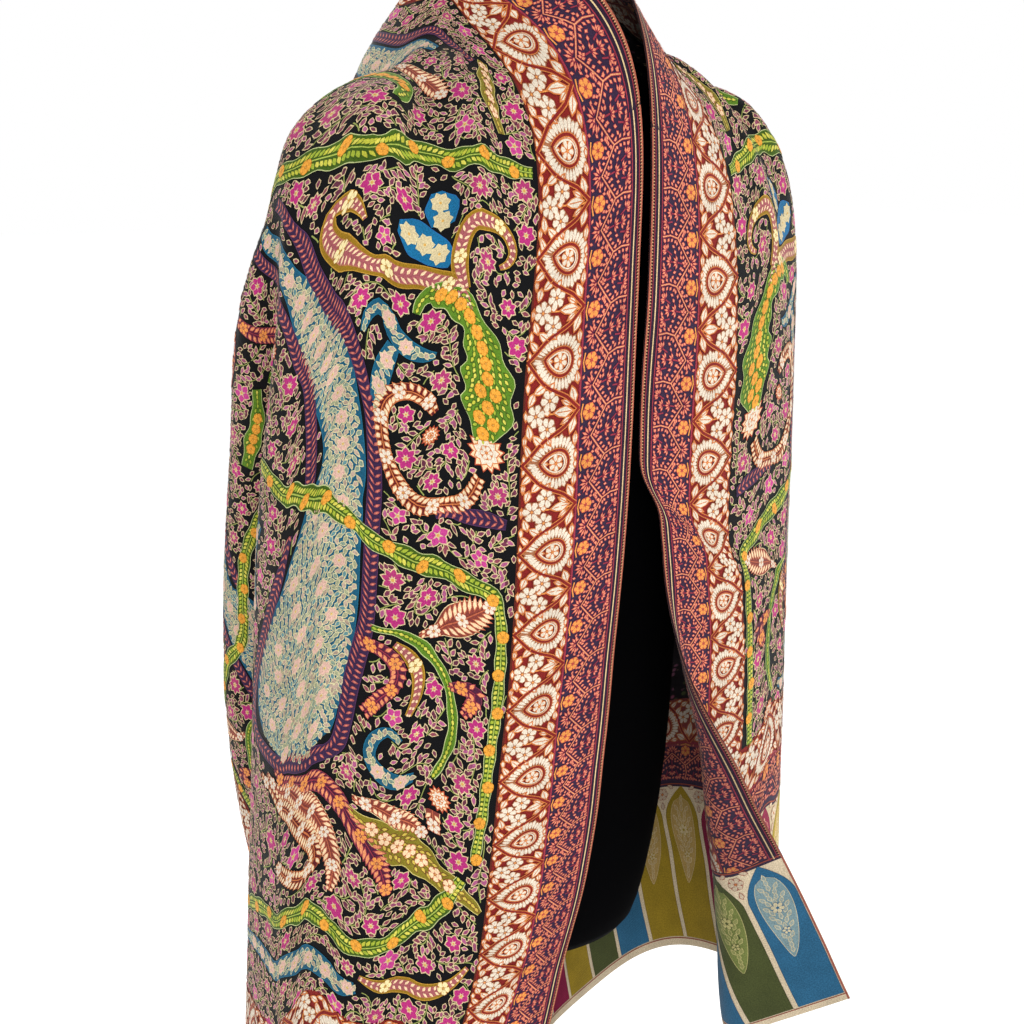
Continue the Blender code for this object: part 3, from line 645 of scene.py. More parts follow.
DISC_SIDES = 7
DISC = motif([(0.5 * math.cos(2 * math.pi * k / DISC_SIDES), 0.5 * math.sin(2 * math.pi * k / DISC_SIDES))
              for k in range(DISC_SIDES)],
             ((0, 0, 0.5),), [(k, (k + 1) % DISC_SIDES, DISC_SIDES) for k in range(DISC_SIDES)])


def plain_place(x, w):
    return x, w


def travelled(path):
    """Length of a path up to each of its points."""
    return np.concatenate([[0], np.cumsum(np.hypot(*np.diff(path, axis=0).T))])


def square_to(path):
    """The way square to a path at each of its points."""
    way = np.gradient(path, axis=0)
    way /= np.maximum(np.linalg.norm(way, axis=1, keepdims=True), 1e-9)
    return np.stack([-way[:, 1], way[:, 0]], 1)


def level(stops, w):
    """Points at one distance from an edge."""
    return np.stack([stops, np.full(len(stops), w)], 1)


class Ornament:
    """Motifs of a few faces in flat sizes, each with a fill, a line colour and a depth inside its line."""

    def __init__(self):
        self.to_cloth = plain_place
        self.line_width = 1.0
        self.batches = []
        self.count = 0

    def add(self, points, depth, lift, fill, line, faces):
        size = len(points)
        places = np.stack(self.to_cloth(points[:, 0], points[:, 1]), 1)
        depth, lift = np.broadcast_to(depth, size) / self.line_width, np.broadcast_to(lift, size)
        fill, line = np.broadcast_to(fill, (size, 3)), np.broadcast_to(line, (size, 3))
        self.batches.append((places, depth, lift, fill, line, faces + self.count))
        self.count += size

    def whole(self):
        """Places, depths, lifts, fills, line colours and faces of all that is drawn."""
        return [np.concatenate(part) for part in zip(*self.batches)]

    def stamp(self, shape, centres, angles, lengths, widths, fill, line, layer=1):
        """Copies of a small shape at many places."""
        centres = np.atleast_2d(np.asarray(centres, float))
        copies, corners = len(centres), len(shape.points)
        if not copies:
            return
        spread = (np.broadcast_to(value, copies)[:, None] for value in (angles, lengths, widths))
        angles, lengths, widths = spread
        x = shape.points[None, :, 0] * lengths
        y = shape.points[None, :, 1] * widths
        along = centres[:, :1] + x * np.cos(angles) - y * np.sin(angles)
        down = centres[:, 1:] + x * np.sin(angles) + y * np.cos(angles)
        depth = shape.depth[None, :] * np.minimum(widths, lengths)
        lift = FIRST_LIFT + LAYER_LIFT * layer + PADDING * (shape.depth[None, :] > 0) * np.ones_like(widths)
        fill = np.repeat(np.broadcast_to(fill, (copies, 3)), corners, axis=0)
        line = np.repeat(np.broadcast_to(line, (copies, 3)), corners, axis=0)
        faces = (shape.faces[None] + corners * np.arange(copies)[:, None, None]).reshape(-1, 3)
        points = np.stack([along.ravel(), down.ravel()], 1)
        self.add(points, depth.ravel() * MILLIMETRES, lift.ravel(), fill, line, faces)

    def band(self, path, half_widths, fill, line, layer=0, cell=0.004):
        """A ribbon of changing width along a path."""
        path = np.asarray(path, float)
        half_widths = np.broadcast_to(half_widths, len(path))
        steps = max(2, 2 * math.ceil(half_widths.max() / cell))
        share = np.linspace(-1, 1, steps + 1)
        points = path[:, None] + square_to(path)[:, None] * (half_widths[:, None] * share)[..., None]
        depth = half_widths[:, None] * (1 - abs(share))
        faces = grid_faces(np.arange(depth.size).reshape(depth.shape))
        lift = FIRST_LIFT + LAYER_LIFT * layer
        self.add(points.reshape(-1, 2), depth.ravel() * MILLIMETRES, lift, fill, line, faces)

    def thread(self, path, width, tint, layer=2):
        """A line of one colour, two faces wide."""
        path = np.asarray(path, float)
        aside = square_to(path) * width / 2
        points = np.concatenate([path - aside, path + aside])
        faces = grid_faces(np.arange(2 * len(path)).reshape(2, -1).T)
        self.add(points, width / 2 * MILLIMETRES, FIRST_LIFT + LAYER_LIFT * layer, tint, tint, faces)

    def flowers(self, centres, radius, petals, fill, line, eye, turn=0.0, layer=3, plump=0.85, shape=PETAL):
        """Open flowers of round or pointed petals with a small eye."""
        width = radius * plump * 2 * math.sin(math.pi / petals)
        for petal in range(petals):
            angle = turn + 2 * math.pi * petal / petals
            self.stamp(shape, centres, angle, radius, width, fill, line, layer)
        self.stamp(DISC, centres, 0, radius * EYE_SHARE, radius * EYE_SHARE, eye, line, layer + 1)

    def finished(self, name, cloth, chosen, side, finish, slot):
        """The faces chosen by their middles, as one piece on the front (1) or the reverse (-1)."""
        flat, depth, lift, fill, line, faces = self.whole()
        middles = flat[faces].mean(axis=1)
        faces = faces[chosen(middles[:, 0], middles[:, 1])]
        used, faces = np.unique(faces, return_inverse=True)
        faces = faces.reshape(-1, 3)
        flat = flat[used]
        middle, normal = cloth.read(flat[:, 0], flat[:, 1])
        points = middle + side * normal * (cloth.wall / 2 + lift[used])[:, None]
        first, second, third = (points[faces[:, corner]] for corner in range(3))
        square = np.cross(second - first, third - first)
        inwards = (square * normal[faces[:, 0]]).sum(axis=1) * side < 0
        faces[inwards] = faces[inwards][:, ::-1]
        made = new_mesh_object(name, points, faces.tolist(), [finish])
        mesh = made.data
        for attribute, values in (("fill", fill), ("line", line)):
            tints = np.ones((len(used), 4), np.float32)
            tints[:, :3] = values[used]
            mesh.attributes.new(attribute, "FLOAT_COLOR", "POINT").data.foreach_set("color", tints.ravel())
        depth = depth[used].astype(np.float32)
        mesh.attributes.new("depth_mm", "FLOAT", "POINT").data.foreach_set("value", depth)
        set_flat_map(mesh, flat)
        mesh.shade_smooth()


def smooth_path(points, step):
    """An even curve through a few points."""
    points = np.concatenate([2 * points[:1] - points[1:2], points, 2 * points[-1:] - points[-2:-1]])
    pieces = []
    share = np.linspace(0, 1, 24, endpoint=False)[:, None]
    for before, start, end, after in zip(points, points[1:], points[2:], points[3:]):
        weights = cubic_weights(share)
        pieces.append(weights[0] * before + weights[1] * start + weights[2] * end + weights[3] * after)
    curve = np.concatenate(pieces + [points[-2:-1]])
    travel = travelled(curve[:, :2])
    stops = np.linspace(0, travel[-1], max(3, round(travel[-1] / step)))
    return np.stack([np.interp(stops, travel, column) for column in curve.T], 1)


def along_path(path, pitch, start=0.0):
    """Places and directions at an even pitch along a path."""
    travel = travelled(path)
    stops = np.arange(start, travel[-1], pitch)
    places = np.stack([np.interp(stops, travel, path[:, 0]), np.interp(stops, travel, path[:, 1])], 1)
    way = np.gradient(path, travel, axis=0)
    angles = np.arctan2(np.interp(stops, travel, way[:, 1]), np.interp(stops, travel, way[:, 0]))
    return places, angles, stops / travel[-1]


def polar(centre, distance, angle):
    """Places at a distance and angle from other places."""
    return np.asarray(centre) + np.stack([distance * np.cos(angle), distance * np.sin(angle)], -1)


# ---- borders ----
PITCH = 0.058
# The dark line between lattice and rosettes, and the spacing of the points of every straight line.
LATTICE_LINE = LATTICE_END + 0.0004
LINE_STEP = 0.0045
# How far from an end its rosette band begins.
END_SHIFT = 0.142
CREAM, WARM_WHITE, SALMON, SAND = palette("#d9ccb8", "#d9bd8c", "#c2703a", "#9c6444")
ORANGE, CORAL, WINE, BRICK = palette("#df9048", "#dd8766", "#93303f", "#7c1f1c")

# Leaves and flowers at each junction of the rosette band, in millimetres from the junction and from the edge.
JUNCTION_LEAVES = Table(("x", "w", "angle", "length", "width"), (
    (0, 58.0, 90, 17, 7.4), (-8.8, 50.8, 158, 12, 7), (8.8, 50.8, 22, 12, 7), (-4.6, 56.0, 118, 10, 4.6),
    (4.8, 55.6, 62, 10, 4.6), (-17.0, 48.2, 178, 9.5, 5), (17.0, 48.2, 2, 9.5, 5), (-14.6, 76.0, 56, 12, 6.4),
    (14.8, 76.0, 124, 12, 6.4), (-8.8, 82.2, 20, 10, 6), (9.8, 82.8, 160, 10, 6), (-20.5, 83.0, 42, 11, 5.6),
    (20.5, 83.0, 138, 11, 5.6), (1.4, 86.0, 0, 8, 3.6), (-14.4, 85.4, 0, 8, 4), (15, 85.8, 0, 8, 4),
    (-0.8, 70.4, 90, 6, 4.4), (-14.8, 68.0, 40, 8, 4.2), (14.8, 68.4, 140, 8, 4.2), (25.5, 85.6, 170, 7, 3.6),
    (-25.5, 85.6, 10, 7, 3.6), (-25.8, 47.6, 0, 7, 3.4), (25.8, 47.6, 0, 7, 3.4),
))
JUNCTION_FLOWERS = Table(("x", "w", "radius"), ((-7.4, 68.8, 7.2), (0.8, 78.6, 7.2), (8.6, 69.8, 7.0)))
# Leaves longer than this have a vein.
VEINED = 8
ROSETTE_PETALS = 34
ARCH = ((0, 87.0), (4.5, 82), (12, 74), (16.5, 65.5), (20.5, 56.5), (24.5, 51.5), (29, 46.2))
LATTICE_STROKES = (
    *((x, 12.0) for x in (2.6, 6.2, 9.8, 13.4, 17.0, 20.6, 24.2, 27.2)),
    (8.4, 43.2), (20.6, 43.2), (5.0, 29.0), (24, 29), (8.4, 21.8), (20.6, 21.8), (5.2, 20.2), (23.8, 20.2),
    (11.2, 27.4), (17.8, 27.4), (14.5, 29.8), (-7.2, 37.2), (7.2, 37.2), (-4.8, 33.6), (4.8, 33.6), (0, 31.2),
    (-3.4, 29.6), (3.4, 29.6),
)


def teardrop(centre, half_length, half_width, turn, sides):
    """An oval with a point towards the field, turned about its middle."""
    angle = np.linspace(0, 2 * math.pi, sides, endpoint=False)
    across = half_length * np.cos(angle)
    along = half_width / 0.87 * np.sin(angle) * abs(np.sin(angle / 2)) ** 0.6
    return np.asarray(centre) + np.stack([along * math.cos(turn) + across * math.sin(turn),
                                          across * math.cos(turn) - along * math.sin(turn)], 1)


def rosette(drawing, start, turn):
    """One pointed rosette between its two arch lines."""
    middle = np.array([start, 0.0652])
    outer = teardrop(middle, 0.0192, 0.0176, turn, ROSETTE_PETALS)
    inner = teardrop(middle - (0, 0.0016), 0.0108, 0.0082, turn, ROSETTE_PETALS)
    core = teardrop(middle - (0, 0.0016), 0.0086, 0.0064, turn, 22)
    reach = outer - inner
    length = np.linalg.norm(reach, axis=1)
    length *= 1 + 0.07 * np.cos(np.arange(ROSETTE_PETALS) * math.pi)
    width = 1.45 * np.linalg.norm(np.roll(outer, -1, 0) - outer, axis=1) * 0.9 + 0.0002
    outwards = np.arctan2(reach[:, 1], reach[:, 0])
    drawing.line_width = 1.5
    drawing.stamp(PETAL, inner - reach * 0.05, outwards, length * 1.04, width, CREAM, SAND, 2)
    for ring, thickness, tint, layer in ((inner, 0.0026, SALMON, 5), (inner, 0.0015, BRICK, 6),
                                         (core, 0.0024, CREAM, 4), (core, 0.0005, SALMON, 5)):
        drawing.thread(np.concatenate([ring, ring[:1]]), thickness, tint, layer)
    drawing.flowers(middle - (0, 0.0030), 0.0056, 6, CREAM, SALMON, ORANGE, turn, 3)
    tip = np.array([[math.sin(turn), math.cos(turn)]]) * 0.0046 + middle
    drawing.stamp(SMALL_LEAF, tip, math.pi / 2 - turn, 0.0052, 0.0026, CREAM, SALMON, 3)
    for way in (-1, 1):
        arch = smooth_path(np.array(ARCH) * (way, 1) / 1000 + (start, 0), 0.004)
        drawing.thread(arch, 0.0031, SALMON, 5)
        drawing.thread(arch, 0.0017, BRICK, 6)
    drawing.line_width = 1.0


def junction(drawing, start):
    """The leaves and flowers between two rosettes, each junction a little different."""
    drawing.line_width = 1.6
    for x, w, angle, length, width in JUNCTION_LEAVES.rows:
        sway = math.sin(start * 700 + x * 3 + w)
        angle, length = math.radians(angle + 9 * sway), length * (1 + 0.08 * sway)
        place = (start + (x + 0.7 * sway) / 1000, w / 1000)
        drawing.stamp(SMALL_LEAF, place, angle, length / 1000, width / 1000, CREAM, SALMON, 4)
        if length > VEINED:
            vein = polar(place, np.array([-0.34, 0.28]) * length / 1000, angle)
            drawing.thread(vein, 0.0006, SALMON, 6)
    for x, w, radius in JUNCTION_FLOWERS.rows:
        place = (start + x / 1000, w / 1000)
        drawing.flowers(place, radius / 1000, 6, CREAM, SAND, ORANGE, start * 40 + x, 4)
    drawing.line_width = 1.0
    stem = np.array([(0, 46), (1.5, 54), (0.5, 62), (0.2, 74)]) / 1000 + (start, 0)
    drawing.thread(smooth_path(stem, 0.004), 0.0009, ORANGE, 3)


def lattice_unit(drawing, start):
    """One zigzag of the lattice band with its branch, sprays, flower and many short strokes."""
    half = PITCH / 4
    zigzag = np.array([(0, 24.0), (half * 1000, 35.5), (half * 2000, 24.0)]) / 1000 + (start, 0)
    line = np.concatenate([np.linspace(zigzag[0], zigzag[1], 5), np.linspace(zigzag[1], zigzag[2], 5)[1:]])
    branch = smooth_path(np.array([(0, 24.0), (-1.2, 18), (0.6, 10.4)]) / 1000 + (start, 0), 0.004)
    for path in (line, branch):
        drawing.thread(path, 0.0015, WINE, 2)
        drawing.thread(path, 0.0007, colour("#dd9468"), 3)
        places, angles, _ = along_path(path, 0.0034, 0.0020)
        for aside in (-0.0025, 0.0025):
            shifted = polar(places, aside, angles + math.pi / 2)
            drawing.stamp(DASH, shifted, angles + 0.9 * np.sign(aside), 0.0036, 0.0024, CORAL, WINE, 1)
    strokes = np.array(LATTICE_STROKES) / 1000 + (start, 0)
    tilts = np.resize((0.5, 1.9, 1.2, 2.4), len(strokes))
    drawing.stamp(DASH, strokes, tilts, 0.0036, 0.0024, CORAL, WINE, 1)
    # Three small sprays in the cell next to the edge.
    for x, w, lean in ((14.5, 18.4, 0), (8.4, 14.8, -0.5), (20.6, 14.8, 0.5), (14.5, 24.4, 0)):
        root = np.array([start + x / 1000, w / 1000])
        fan = -math.pi / 2 + lean + np.array([-1.15, -0.58, 0, 0.58, 1.15])
        drawing.stamp(DASH, polar(root, 0.0028, fan), fan, 0.0046, 0.0020, CORAL, WINE, 2)
        drawing.thread(np.array([root, root + (0.0004 - lean * 0.003, 0.0042)]), 0.0009, WINE, 1)
    # The fan outside the zigzag's point, then the half flower with its bow between two fans.
    point = zigzag[1] + (0, 0.0006)
    fan = math.pi / 2 + np.radians(np.linspace(-82, 82, 7))
    drawing.stamp(DASH, polar(point, 0.0046, fan), fan, 0.0064, 0.0022, CORAL, WINE, 2)
    bloom = np.array([[start, 0.0376]])
    drawing.line_width = 1.5
    drawing.flowers(bloom, 0.0054, 6, ORANGE, colour("#a8443c"), colour("#b83c34"), 0.5, 2, 0.95)
    drawing.line_width = 1.0
    bow = smooth_path(np.array([(-5.4, 42.6), (0, 43.9), (5.4, 42.6)]) / 1000 + (start, 0), 0.004)
    drawing.thread(bow, 0.0010, ORANGE, 2)


# The middles of the rosettes down the wearer's right and left: they crowd together towards the ends.
RIGHT_ROSETTES = (0.034, 0.095, 0.158, 0.2236, 0.3120, 0.3816, 0.4477, 0.5145, 0.5737, 0.6278, 0.6798, 0.7298,
                  0.7748, 0.8140, 0.8539, 0.895, 0.938, 0.981)
LEFT_ROSETTES = (0.034, 0.092, 0.150, 0.209, 0.2707, 0.3347, 0.3985, 0.4638, 0.5238, 0.5795, 0.6320, 0.6829,
                 0.732, 0.782, 0.832)


def paced(middles):
    """From even units of the pattern to places along the cloth."""
    stops = (np.arange(len(middles)) + 0.5) * PITCH
    first = (middles[1] - middles[0]) / PITCH
    last = (middles[-1] - middles[-2]) / PITCH

    def place(x):
        inside = np.interp(x, stops, middles)
        return inside + first * np.minimum(x - stops[0], 0) + last * np.maximum(x - stops[-1], 0)
    return place


def border_run(drawing, to_cloth, middles, turns):
    """The lattice band and the rosettes along one stretch of a long edge."""
    pace = paced(middles)
    drawing.to_cloth = lambda x, w: to_cloth(pace(x), w)
    drawing.thread(level(np.arange(0, PITCH * len(middles), LINE_STEP), LATTICE_LINE), 0.0014, WINE, 1)
    for unit in range(len(middles)):
        turn = np.interp(unit, (0, len(middles) - 1), turns)
        rosette(drawing, (unit + 0.5) * PITCH, math.radians(turn))
        junction(drawing, (unit + 1) * PITCH)
    for unit in range(2 * len(middles) + 2):
        lattice_unit(drawing, 0.004 + unit * PITCH / 2)


def long_edge(side, hem):
    """Lays a pattern along a long edge of the right side (-1) or the left side (1)."""
    return lambda x, w: (side * x, SHAWL_WIDTH - w if hem else w)


def short_end(side, shift=0.0):
    """Lays a pattern across the right end (-1) or the left end (1), this far in from it."""
    length = RIGHT_LENGTH if side < 0 else LEFT_LENGTH
    return lambda x, w: (side * (length - shift - w), x)


def border_drawing():
    drawing = Ornament()
    for side, hem, middles, turns, length in ((-1, False, RIGHT_ROSETTES, (-26, 24), RIGHT_LENGTH),
                                              (1, False, LEFT_ROSETTES, (8, -22), LEFT_LENGTH),
                                              (-1, True, RIGHT_ROSETTES, (-12, 12), RIGHT_LENGTH),
                                              (1, True, LEFT_ROSETTES, (8, -12), LEFT_LENGTH)):
        border_run(drawing, long_edge(side, hem), middles, turns)
        stitched_edge(drawing, long_edge(side, hem), length)
    for hem in (False, True):
        drawing.to_cloth = long_edge(-1, hem)
        junction(drawing, 0.0)
    return drawing


# ---- field ----
# Half of one side of the field: kind, layer and middle line of each figure, with (distance from the nape,
# distance from the neck edge, half width) in millimetres.  It is mirrored to the back and to the other side.
FIGURES = (
    ("teal", 0, ((322, 303, 5), (338, 298, 7), (366, 278, 9), (388, 262, 10), (426, 246, 12),
        (472, 226, 14), (512, 212, 15), (540, 208, 17), (560, 214, 23), (580, 219, 28), (610, 229, 38),
        (650, 241, 47), (674, 248, 49), (688, 251, 47), (698, 253, 40), (705, 254, 29), (709, 255, 14))),
    ("teal", 0, ((690, 230, 30), (702, 229, 28), (714, 226, 23), (724, 222, 17), (731, 219, 10))),
    ("chevrons", 1, ((318, 282, 4), (336, 272, 4.5), (356, 258, 4.5), (386, 248, 4.5),
        (418, 234, 4.5), (456, 216, 4.5), (482, 202, 4.5), (508, 190, 4.5), (540, 185, 5), (576, 185, 5),
        (614, 186, 5), (644, 188, 5), (686, 196, 5.5), (718, 200, 5.5), (736, 205, 6), (741, 217, 6),
        (730, 236, 6), (715, 257, 6), (711, 280, 6), (704, 301, 6), (686, 308, 6), (660, 301, 5.5),
        (620, 281, 5), (588, 266, 5), (558, 252, 4))),
    ("chevrons", 1, ((330, 316, 4), (350, 308, 4.5), (388, 284, 4.5), (408, 270, 4.5),
        (432, 258, 4.5), (458, 246, 4.5), (484, 240, 4.5), (508, 236, 4.5), (536, 234, 4.5),
        (552, 236, 3.5))),
    ("vine", 4, ((262, 318, 6), (284, 298, 7), (304, 268, 7), (314, 248, 7), (328, 230, 7),
        (341, 214, 8), (338, 198, 8.5), (330, 186, 8), (326, 168, 7.5), (332, 148, 7.5), (330, 128, 7),
        (326, 108, 6), (326, 92, 4))),
    ("vine", 4, ((500, 310, 4), (506, 290, 5), (514, 274, 6), (528, 252, 6), (552, 230, 6),
        (572, 214, 6), (581, 198, 6), (582, 182, 6), (584, 168, 6.5), (592, 154, 6.5), (600, 138, 6.5),
        (600, 120, 6.5), (602, 104, 5.5), (618, 97, 4), (646, 95, 4), (672, 95, 4), (714, 96, 4),
        (750, 97, 4), (788, 100, 3.5))),
    ("scroll", 2, ((386, 214, 1.5), (374, 220, 3.5), (363, 228, 4.5), (362, 236, 5), (373, 238, 6),
        (390, 230, 6.5), (408, 218, 6.5), (416, 204, 6.5), (412, 188, 7.5), (407, 171, 7.5),
        (412, 154, 7.5), (422, 139, 5.5), (430, 131, 2))),
    ("scroll", 2, ((418, 138, 4), (404, 144, 6), (390, 145, 6.5), (378, 141, 6.5), (371, 131, 6),
        (368, 120, 5.5), (371, 111, 4.5), (380, 106, 3.5), (388, 109, 2.5), (393, 115, 1.5))),
    ("blue", 1, ((352, 166, 4), (362, 162, 12), (374, 160, 8))),
    ("blue", 1, ((383, 190, 4), (384, 180, 12), (387, 170, 11), (392, 160, 9), (400, 151, 3))),
    ("paisley", 3, ((430, 170, 2.5), (422, 168, 4.5), (417, 161, 6.5), (421, 150, 8), (429, 138, 9.5),
        (437, 128, 10.5), (448, 120, 14), (462, 115, 17.5), (480, 113, 18), (494, 114, 13.5),
        (505, 117, 4.5))),
    ("teal", 1, ((458, 204, 2), (447, 202, 4), (440, 196, 4.5), (439, 189, 5.5), (446, 183, 6),
        (452, 173, 6), (456, 161, 4.5), (458, 152, 2))),
    ("teal", 1, ((454, 182, 4.5), (470, 186, 6), (486, 188, 5.5), (500, 188, 2.5))),
    ("feather", 2, ((496, 148, 2.5), (485, 155, 4.5), (479, 166, 5.5), (483, 178, 5.5),
        (494, 184, 5.5), (508, 183, 4.5), (524, 178, 4.5), (537, 171, 5.5), (549, 161, 5.5),
        (557, 148, 5.5), (555, 133, 4.5), (543, 122, 4.5), (528, 116, 3.5))),
    ("chevrons", 2, ((564, 144, 2.5), (558, 126, 4.5), (553, 110, 5.5), (554, 96, 3.5))),
    ("bloom", 2, ((510, 112, 13.5),)),
    ("bloom", 2, ((510, 150, 6.5),)),
    ("blush", 2, ((642, 152, 2), (641, 140, 4.5), (631, 128, 9.5), (620, 116, 9.5), (610, 104, 2))),
    ("paisley", 2, ((640, 184, 2), (638, 167, 2.5), (645, 154, 3.5), (659, 142, 3.5), (673, 131, 3.5),
        (688, 126, 3.5), (706, 124, 3.5), (726, 128, 2.5), (742, 134, 2))),
    ("scroll", 2, ((646, 168, 2.5), (653, 159, 4), (668, 151, 4.5), (684, 151, 4), (696, 156, 2.5))),
    ("coral", 2, ((656, 194, 2.5), (652, 182, 4.5), (655, 171, 5.5), (664, 165, 5.5), (675, 167, 4.5),
        (685, 176, 4.5), (700, 186, 3.5))),
    ("coral", 2, ((676, 130, 2), (672, 120, 4.5), (672, 111, 6), (682, 113, 4.5), (690, 118, 2))),
    ("teal", 2, ((714, 160, 2), (707, 169, 3.5), (714, 178, 4), (727, 181, 4.5), (736, 174, 5.5),
        (742, 161, 5.5), (742, 148, 3.5))),
    ("bloom", 2, ((754, 128, 8.5),)),
    ("blush", 2, ((764, 132, 5.5), (776, 130, 4))),
    ("feather", 3, ((730, 290, 2), (738, 268, 4.5), (760, 246, 5.5), (796, 224, 6), (818, 216, 5.5),
        (824, 227, 5.5), (808, 246, 4.5), (788, 262, 2.5))),
    ("blush", 2, ((726, 280, 2), (742, 248, 5.5), (780, 222, 7.5), (806, 206, 8), (826, 200, 5.5),
        (842, 202, 2))),
    ("coral", 2, ((718, 268, 2.5), (752, 228, 5.5), (776, 198, 8), (786, 180, 9.5), (802, 167, 6.5),
        (820, 160, 2.5))),
    ("olive", 3, ((774, 192, 2.5), (777, 174, 8), (789, 154, 11.5), (803, 134, 10.5), (809, 116, 8),
        (816, 101, 4.5), (824, 92, 2))),
    ("blush", 2, ((764, 190, 2), (761, 172, 5.5), (770, 154, 6), (782, 138, 2.5))),
    ("vine", 4, ((850, 330, 5), (838, 302, 6), (832, 268, 6), (845, 236, 6.5), (864, 209, 6.5),
        (868, 189, 6.5), (862, 168, 6.5), (856, 148, 6.5), (840, 130, 6), (820, 117, 5.5),
        (802, 108, 3.5))),
    ("teal", 2, ((876, 332, 4), (869, 290, 6.5), (876, 250, 8), (894, 217, 8.5), (901, 194, 8),
        (895, 176, 4))),
    ("scroll", 2, ((886, 174, 2), (892, 152, 5.5), (892, 127, 6), (879, 107, 4), (864, 95, 2))),
    ("coral", 1, ((366, 356, 4), (388, 340, 6), (408, 312, 5.5), (424, 290, 3.5))),
    ("bloom", 2, ((424, 288, 8),)),
    ("vine", 4, ((10, 345, 6), (40, 326, 7), (72, 300, 8), (98, 272, 8), (128, 254, 8), (160, 248, 8),
        (196, 258, 8), (226, 282, 7), (246, 308, 7), (260, 332, 6))),
    ("teal", 1, ((50, 158, 4), (76, 144, 10), (106, 142, 14), (138, 150, 17), (170, 158, 15),
        (198, 158, 9), (216, 150, 4))),
    ("chevrons", 1, ((44, 140, 4), (74, 124, 5), (108, 120, 5), (146, 127, 5), (182, 136, 5),
        (214, 133, 5), (240, 118, 4))),
    ("scroll", 2, ((80, 226, 3), (96, 211, 6), (122, 203, 8), (152, 209, 8), (182, 218, 8),
        (206, 211, 6), (222, 196, 4))),
    ("blush", 2, ((228, 192, 3), (244, 178, 8), (260, 166, 9), (276, 158, 4))),
    ("paisley", 2, ((264, 236, 3), (252, 223, 6), (250, 206, 8), (264, 193, 9), (284, 190, 6),
        (298, 196, 3))),
    ("olive", 2, ((240, 108, 4), (262, 116, 8), (284, 120, 8), (304, 114, 3))),
    ("teal", 1, ((2, 252, 14), (26, 262, 13), (50, 270, 9), (70, 262, 4))),
    ("feather", 2, ((10, 196, 6), (34, 184, 7), (50, 196, 6), (44, 212, 5))),
    ("scroll", 2, ((470, 352, 4), (492, 342, 7), (520, 336, 8), (550, 340, 7), (572, 350, 4))),
    ("blush", 2, ((600, 330, 3), (628, 326, 8), (660, 326, 11), (694, 332, 9), (722, 340, 4))),
    ("teal", 1, ((548, 292, 4), (566, 306, 7), (590, 310, 8), (612, 302, 5))),
    ("paisley", 2, ((420, 352, 4), (440, 338, 7), (452, 322, 8), (466, 304, 5))),
    ("coral", 2, ((300, 352, 4), (320, 346, 7), (342, 346, 6), (358, 354, 3))),
)
FIELD_EDGE = 0.0885
FIELD_MIDDLE = SHAWL_WIDTH / 2
SQUARE = 0.001


class FieldPlan:
    """Which parts of the field half are taken, in squares of 1 mm."""

    def __init__(self):
        self.taken = np.zeros((int(RIGHT_LENGTH / SQUARE) + 1, int(FIELD_MIDDLE / SQUARE) + 1), bool)

    def squares(self, places):
        rows = np.clip((places[..., 0] / SQUARE).astype(int), 0, self.taken.shape[0] - 1)
        columns = np.clip((places[..., 1] / SQUARE).astype(int), 0, self.taken.shape[1] - 1)
        return rows, columns

    def claim(self, places, radii):
        """Take every square within a radius of each place."""
        for (a, v), radius in zip(places, np.broadcast_to(radii, len(places))):
            reach = np.arange(-radius, radius + SQUARE / 2, SQUARE * 0.95)
            x, y = np.meshgrid(reach, reach)
            inside = np.hypot(x, y) <= radius
            self.taken[self.squares(np.stack([a + x[inside], v + y[inside]], -1))] = True

    def free(self, places):
        within = (places[..., 0] >= 0) & (places[..., 0] < RIGHT_LENGTH) & (places[..., 1] >= FIELD_EDGE)
        within &= places[..., 1] <= FIELD_MIDDLE
        return within & ~self.taken[self.squares(places)]


def scattered(path, half_widths, pitch, inset):
    """Places in rows across a band, every other row shifted, with share across, direction and row."""
    travel = travelled(path)
    way = np.gradient(path, travel, axis=0)
    found = []
    for row, stop in enumerate(np.arange(pitch / 2, travel[-1], pitch * 0.8)):
        x, y = (np.interp(stop, travel, path[:, axis]) for axis in (0, 1))
        way_x, way_y = (np.interp(stop, travel, way[:, axis]) for axis in (0, 1))
        room = np.interp(stop, travel, half_widths) - inset
        if room <= 0:
            continue
        angle = math.atan2(way_y, way_x)
        count = max(1, round(2 * room / pitch))
        for column in range(count):
            share = (column + 0.5 + 0.5 * (row % 2) * (count > 1)) / count * 2 - 1
            if share < 1:
                aside = share * room
                found.append((x - math.sin(angle) * aside, y + math.cos(angle) * aside, share, angle, row))
    return np.array(found).reshape(-1, 5)


FIGURE_COLOURS = {
    "teal": palette("#17526c", "#1c6480"), "blue": palette("#14628c", "#22609a"),
    "vine": palette("#3f5a14", "#b9c184"), "scroll": palette("#8f6c18", "#b48a34"),
    "paisley": palette("#557a20", "#b9c184"), "feather": palette("#5c171c", "#a8603c"),
    "blush": palette("#7c3830", "#dcc394"), "olive": palette("#7c7020", "#cfc074"),
    "chevrons": palette("#352040", "#4c2c50"), "coral": palette("#4a1c34", "#7c3848"),
}
SEA_LEAVES = palette("#7a8c7c", "#b09888", "#94987a", "#5c8488", "#9c8878")
PINK_LEAVES = palette("#8c4664", "#6c3048", "#a0527a", "#803e4c", "#5c2a3c")
LIME_LEAVES = palette("#b4b43c", "#ccc452", "#98a834")
SEA_LINE, PINK_LINE, LIME_LINE, STEM = palette("#c8bf94", "#ceb88c", "#3c5414", "#8c9650")
MAGENTA, BRIGHT_PINK, DEEP_PINK, EYE = palette("#ac2c70", "#ba3e84", "#a43468", "#c89a50")
ROSE, PEACH, GOLD = palette("#cfa898", "#eac9a0", "#e09a38")
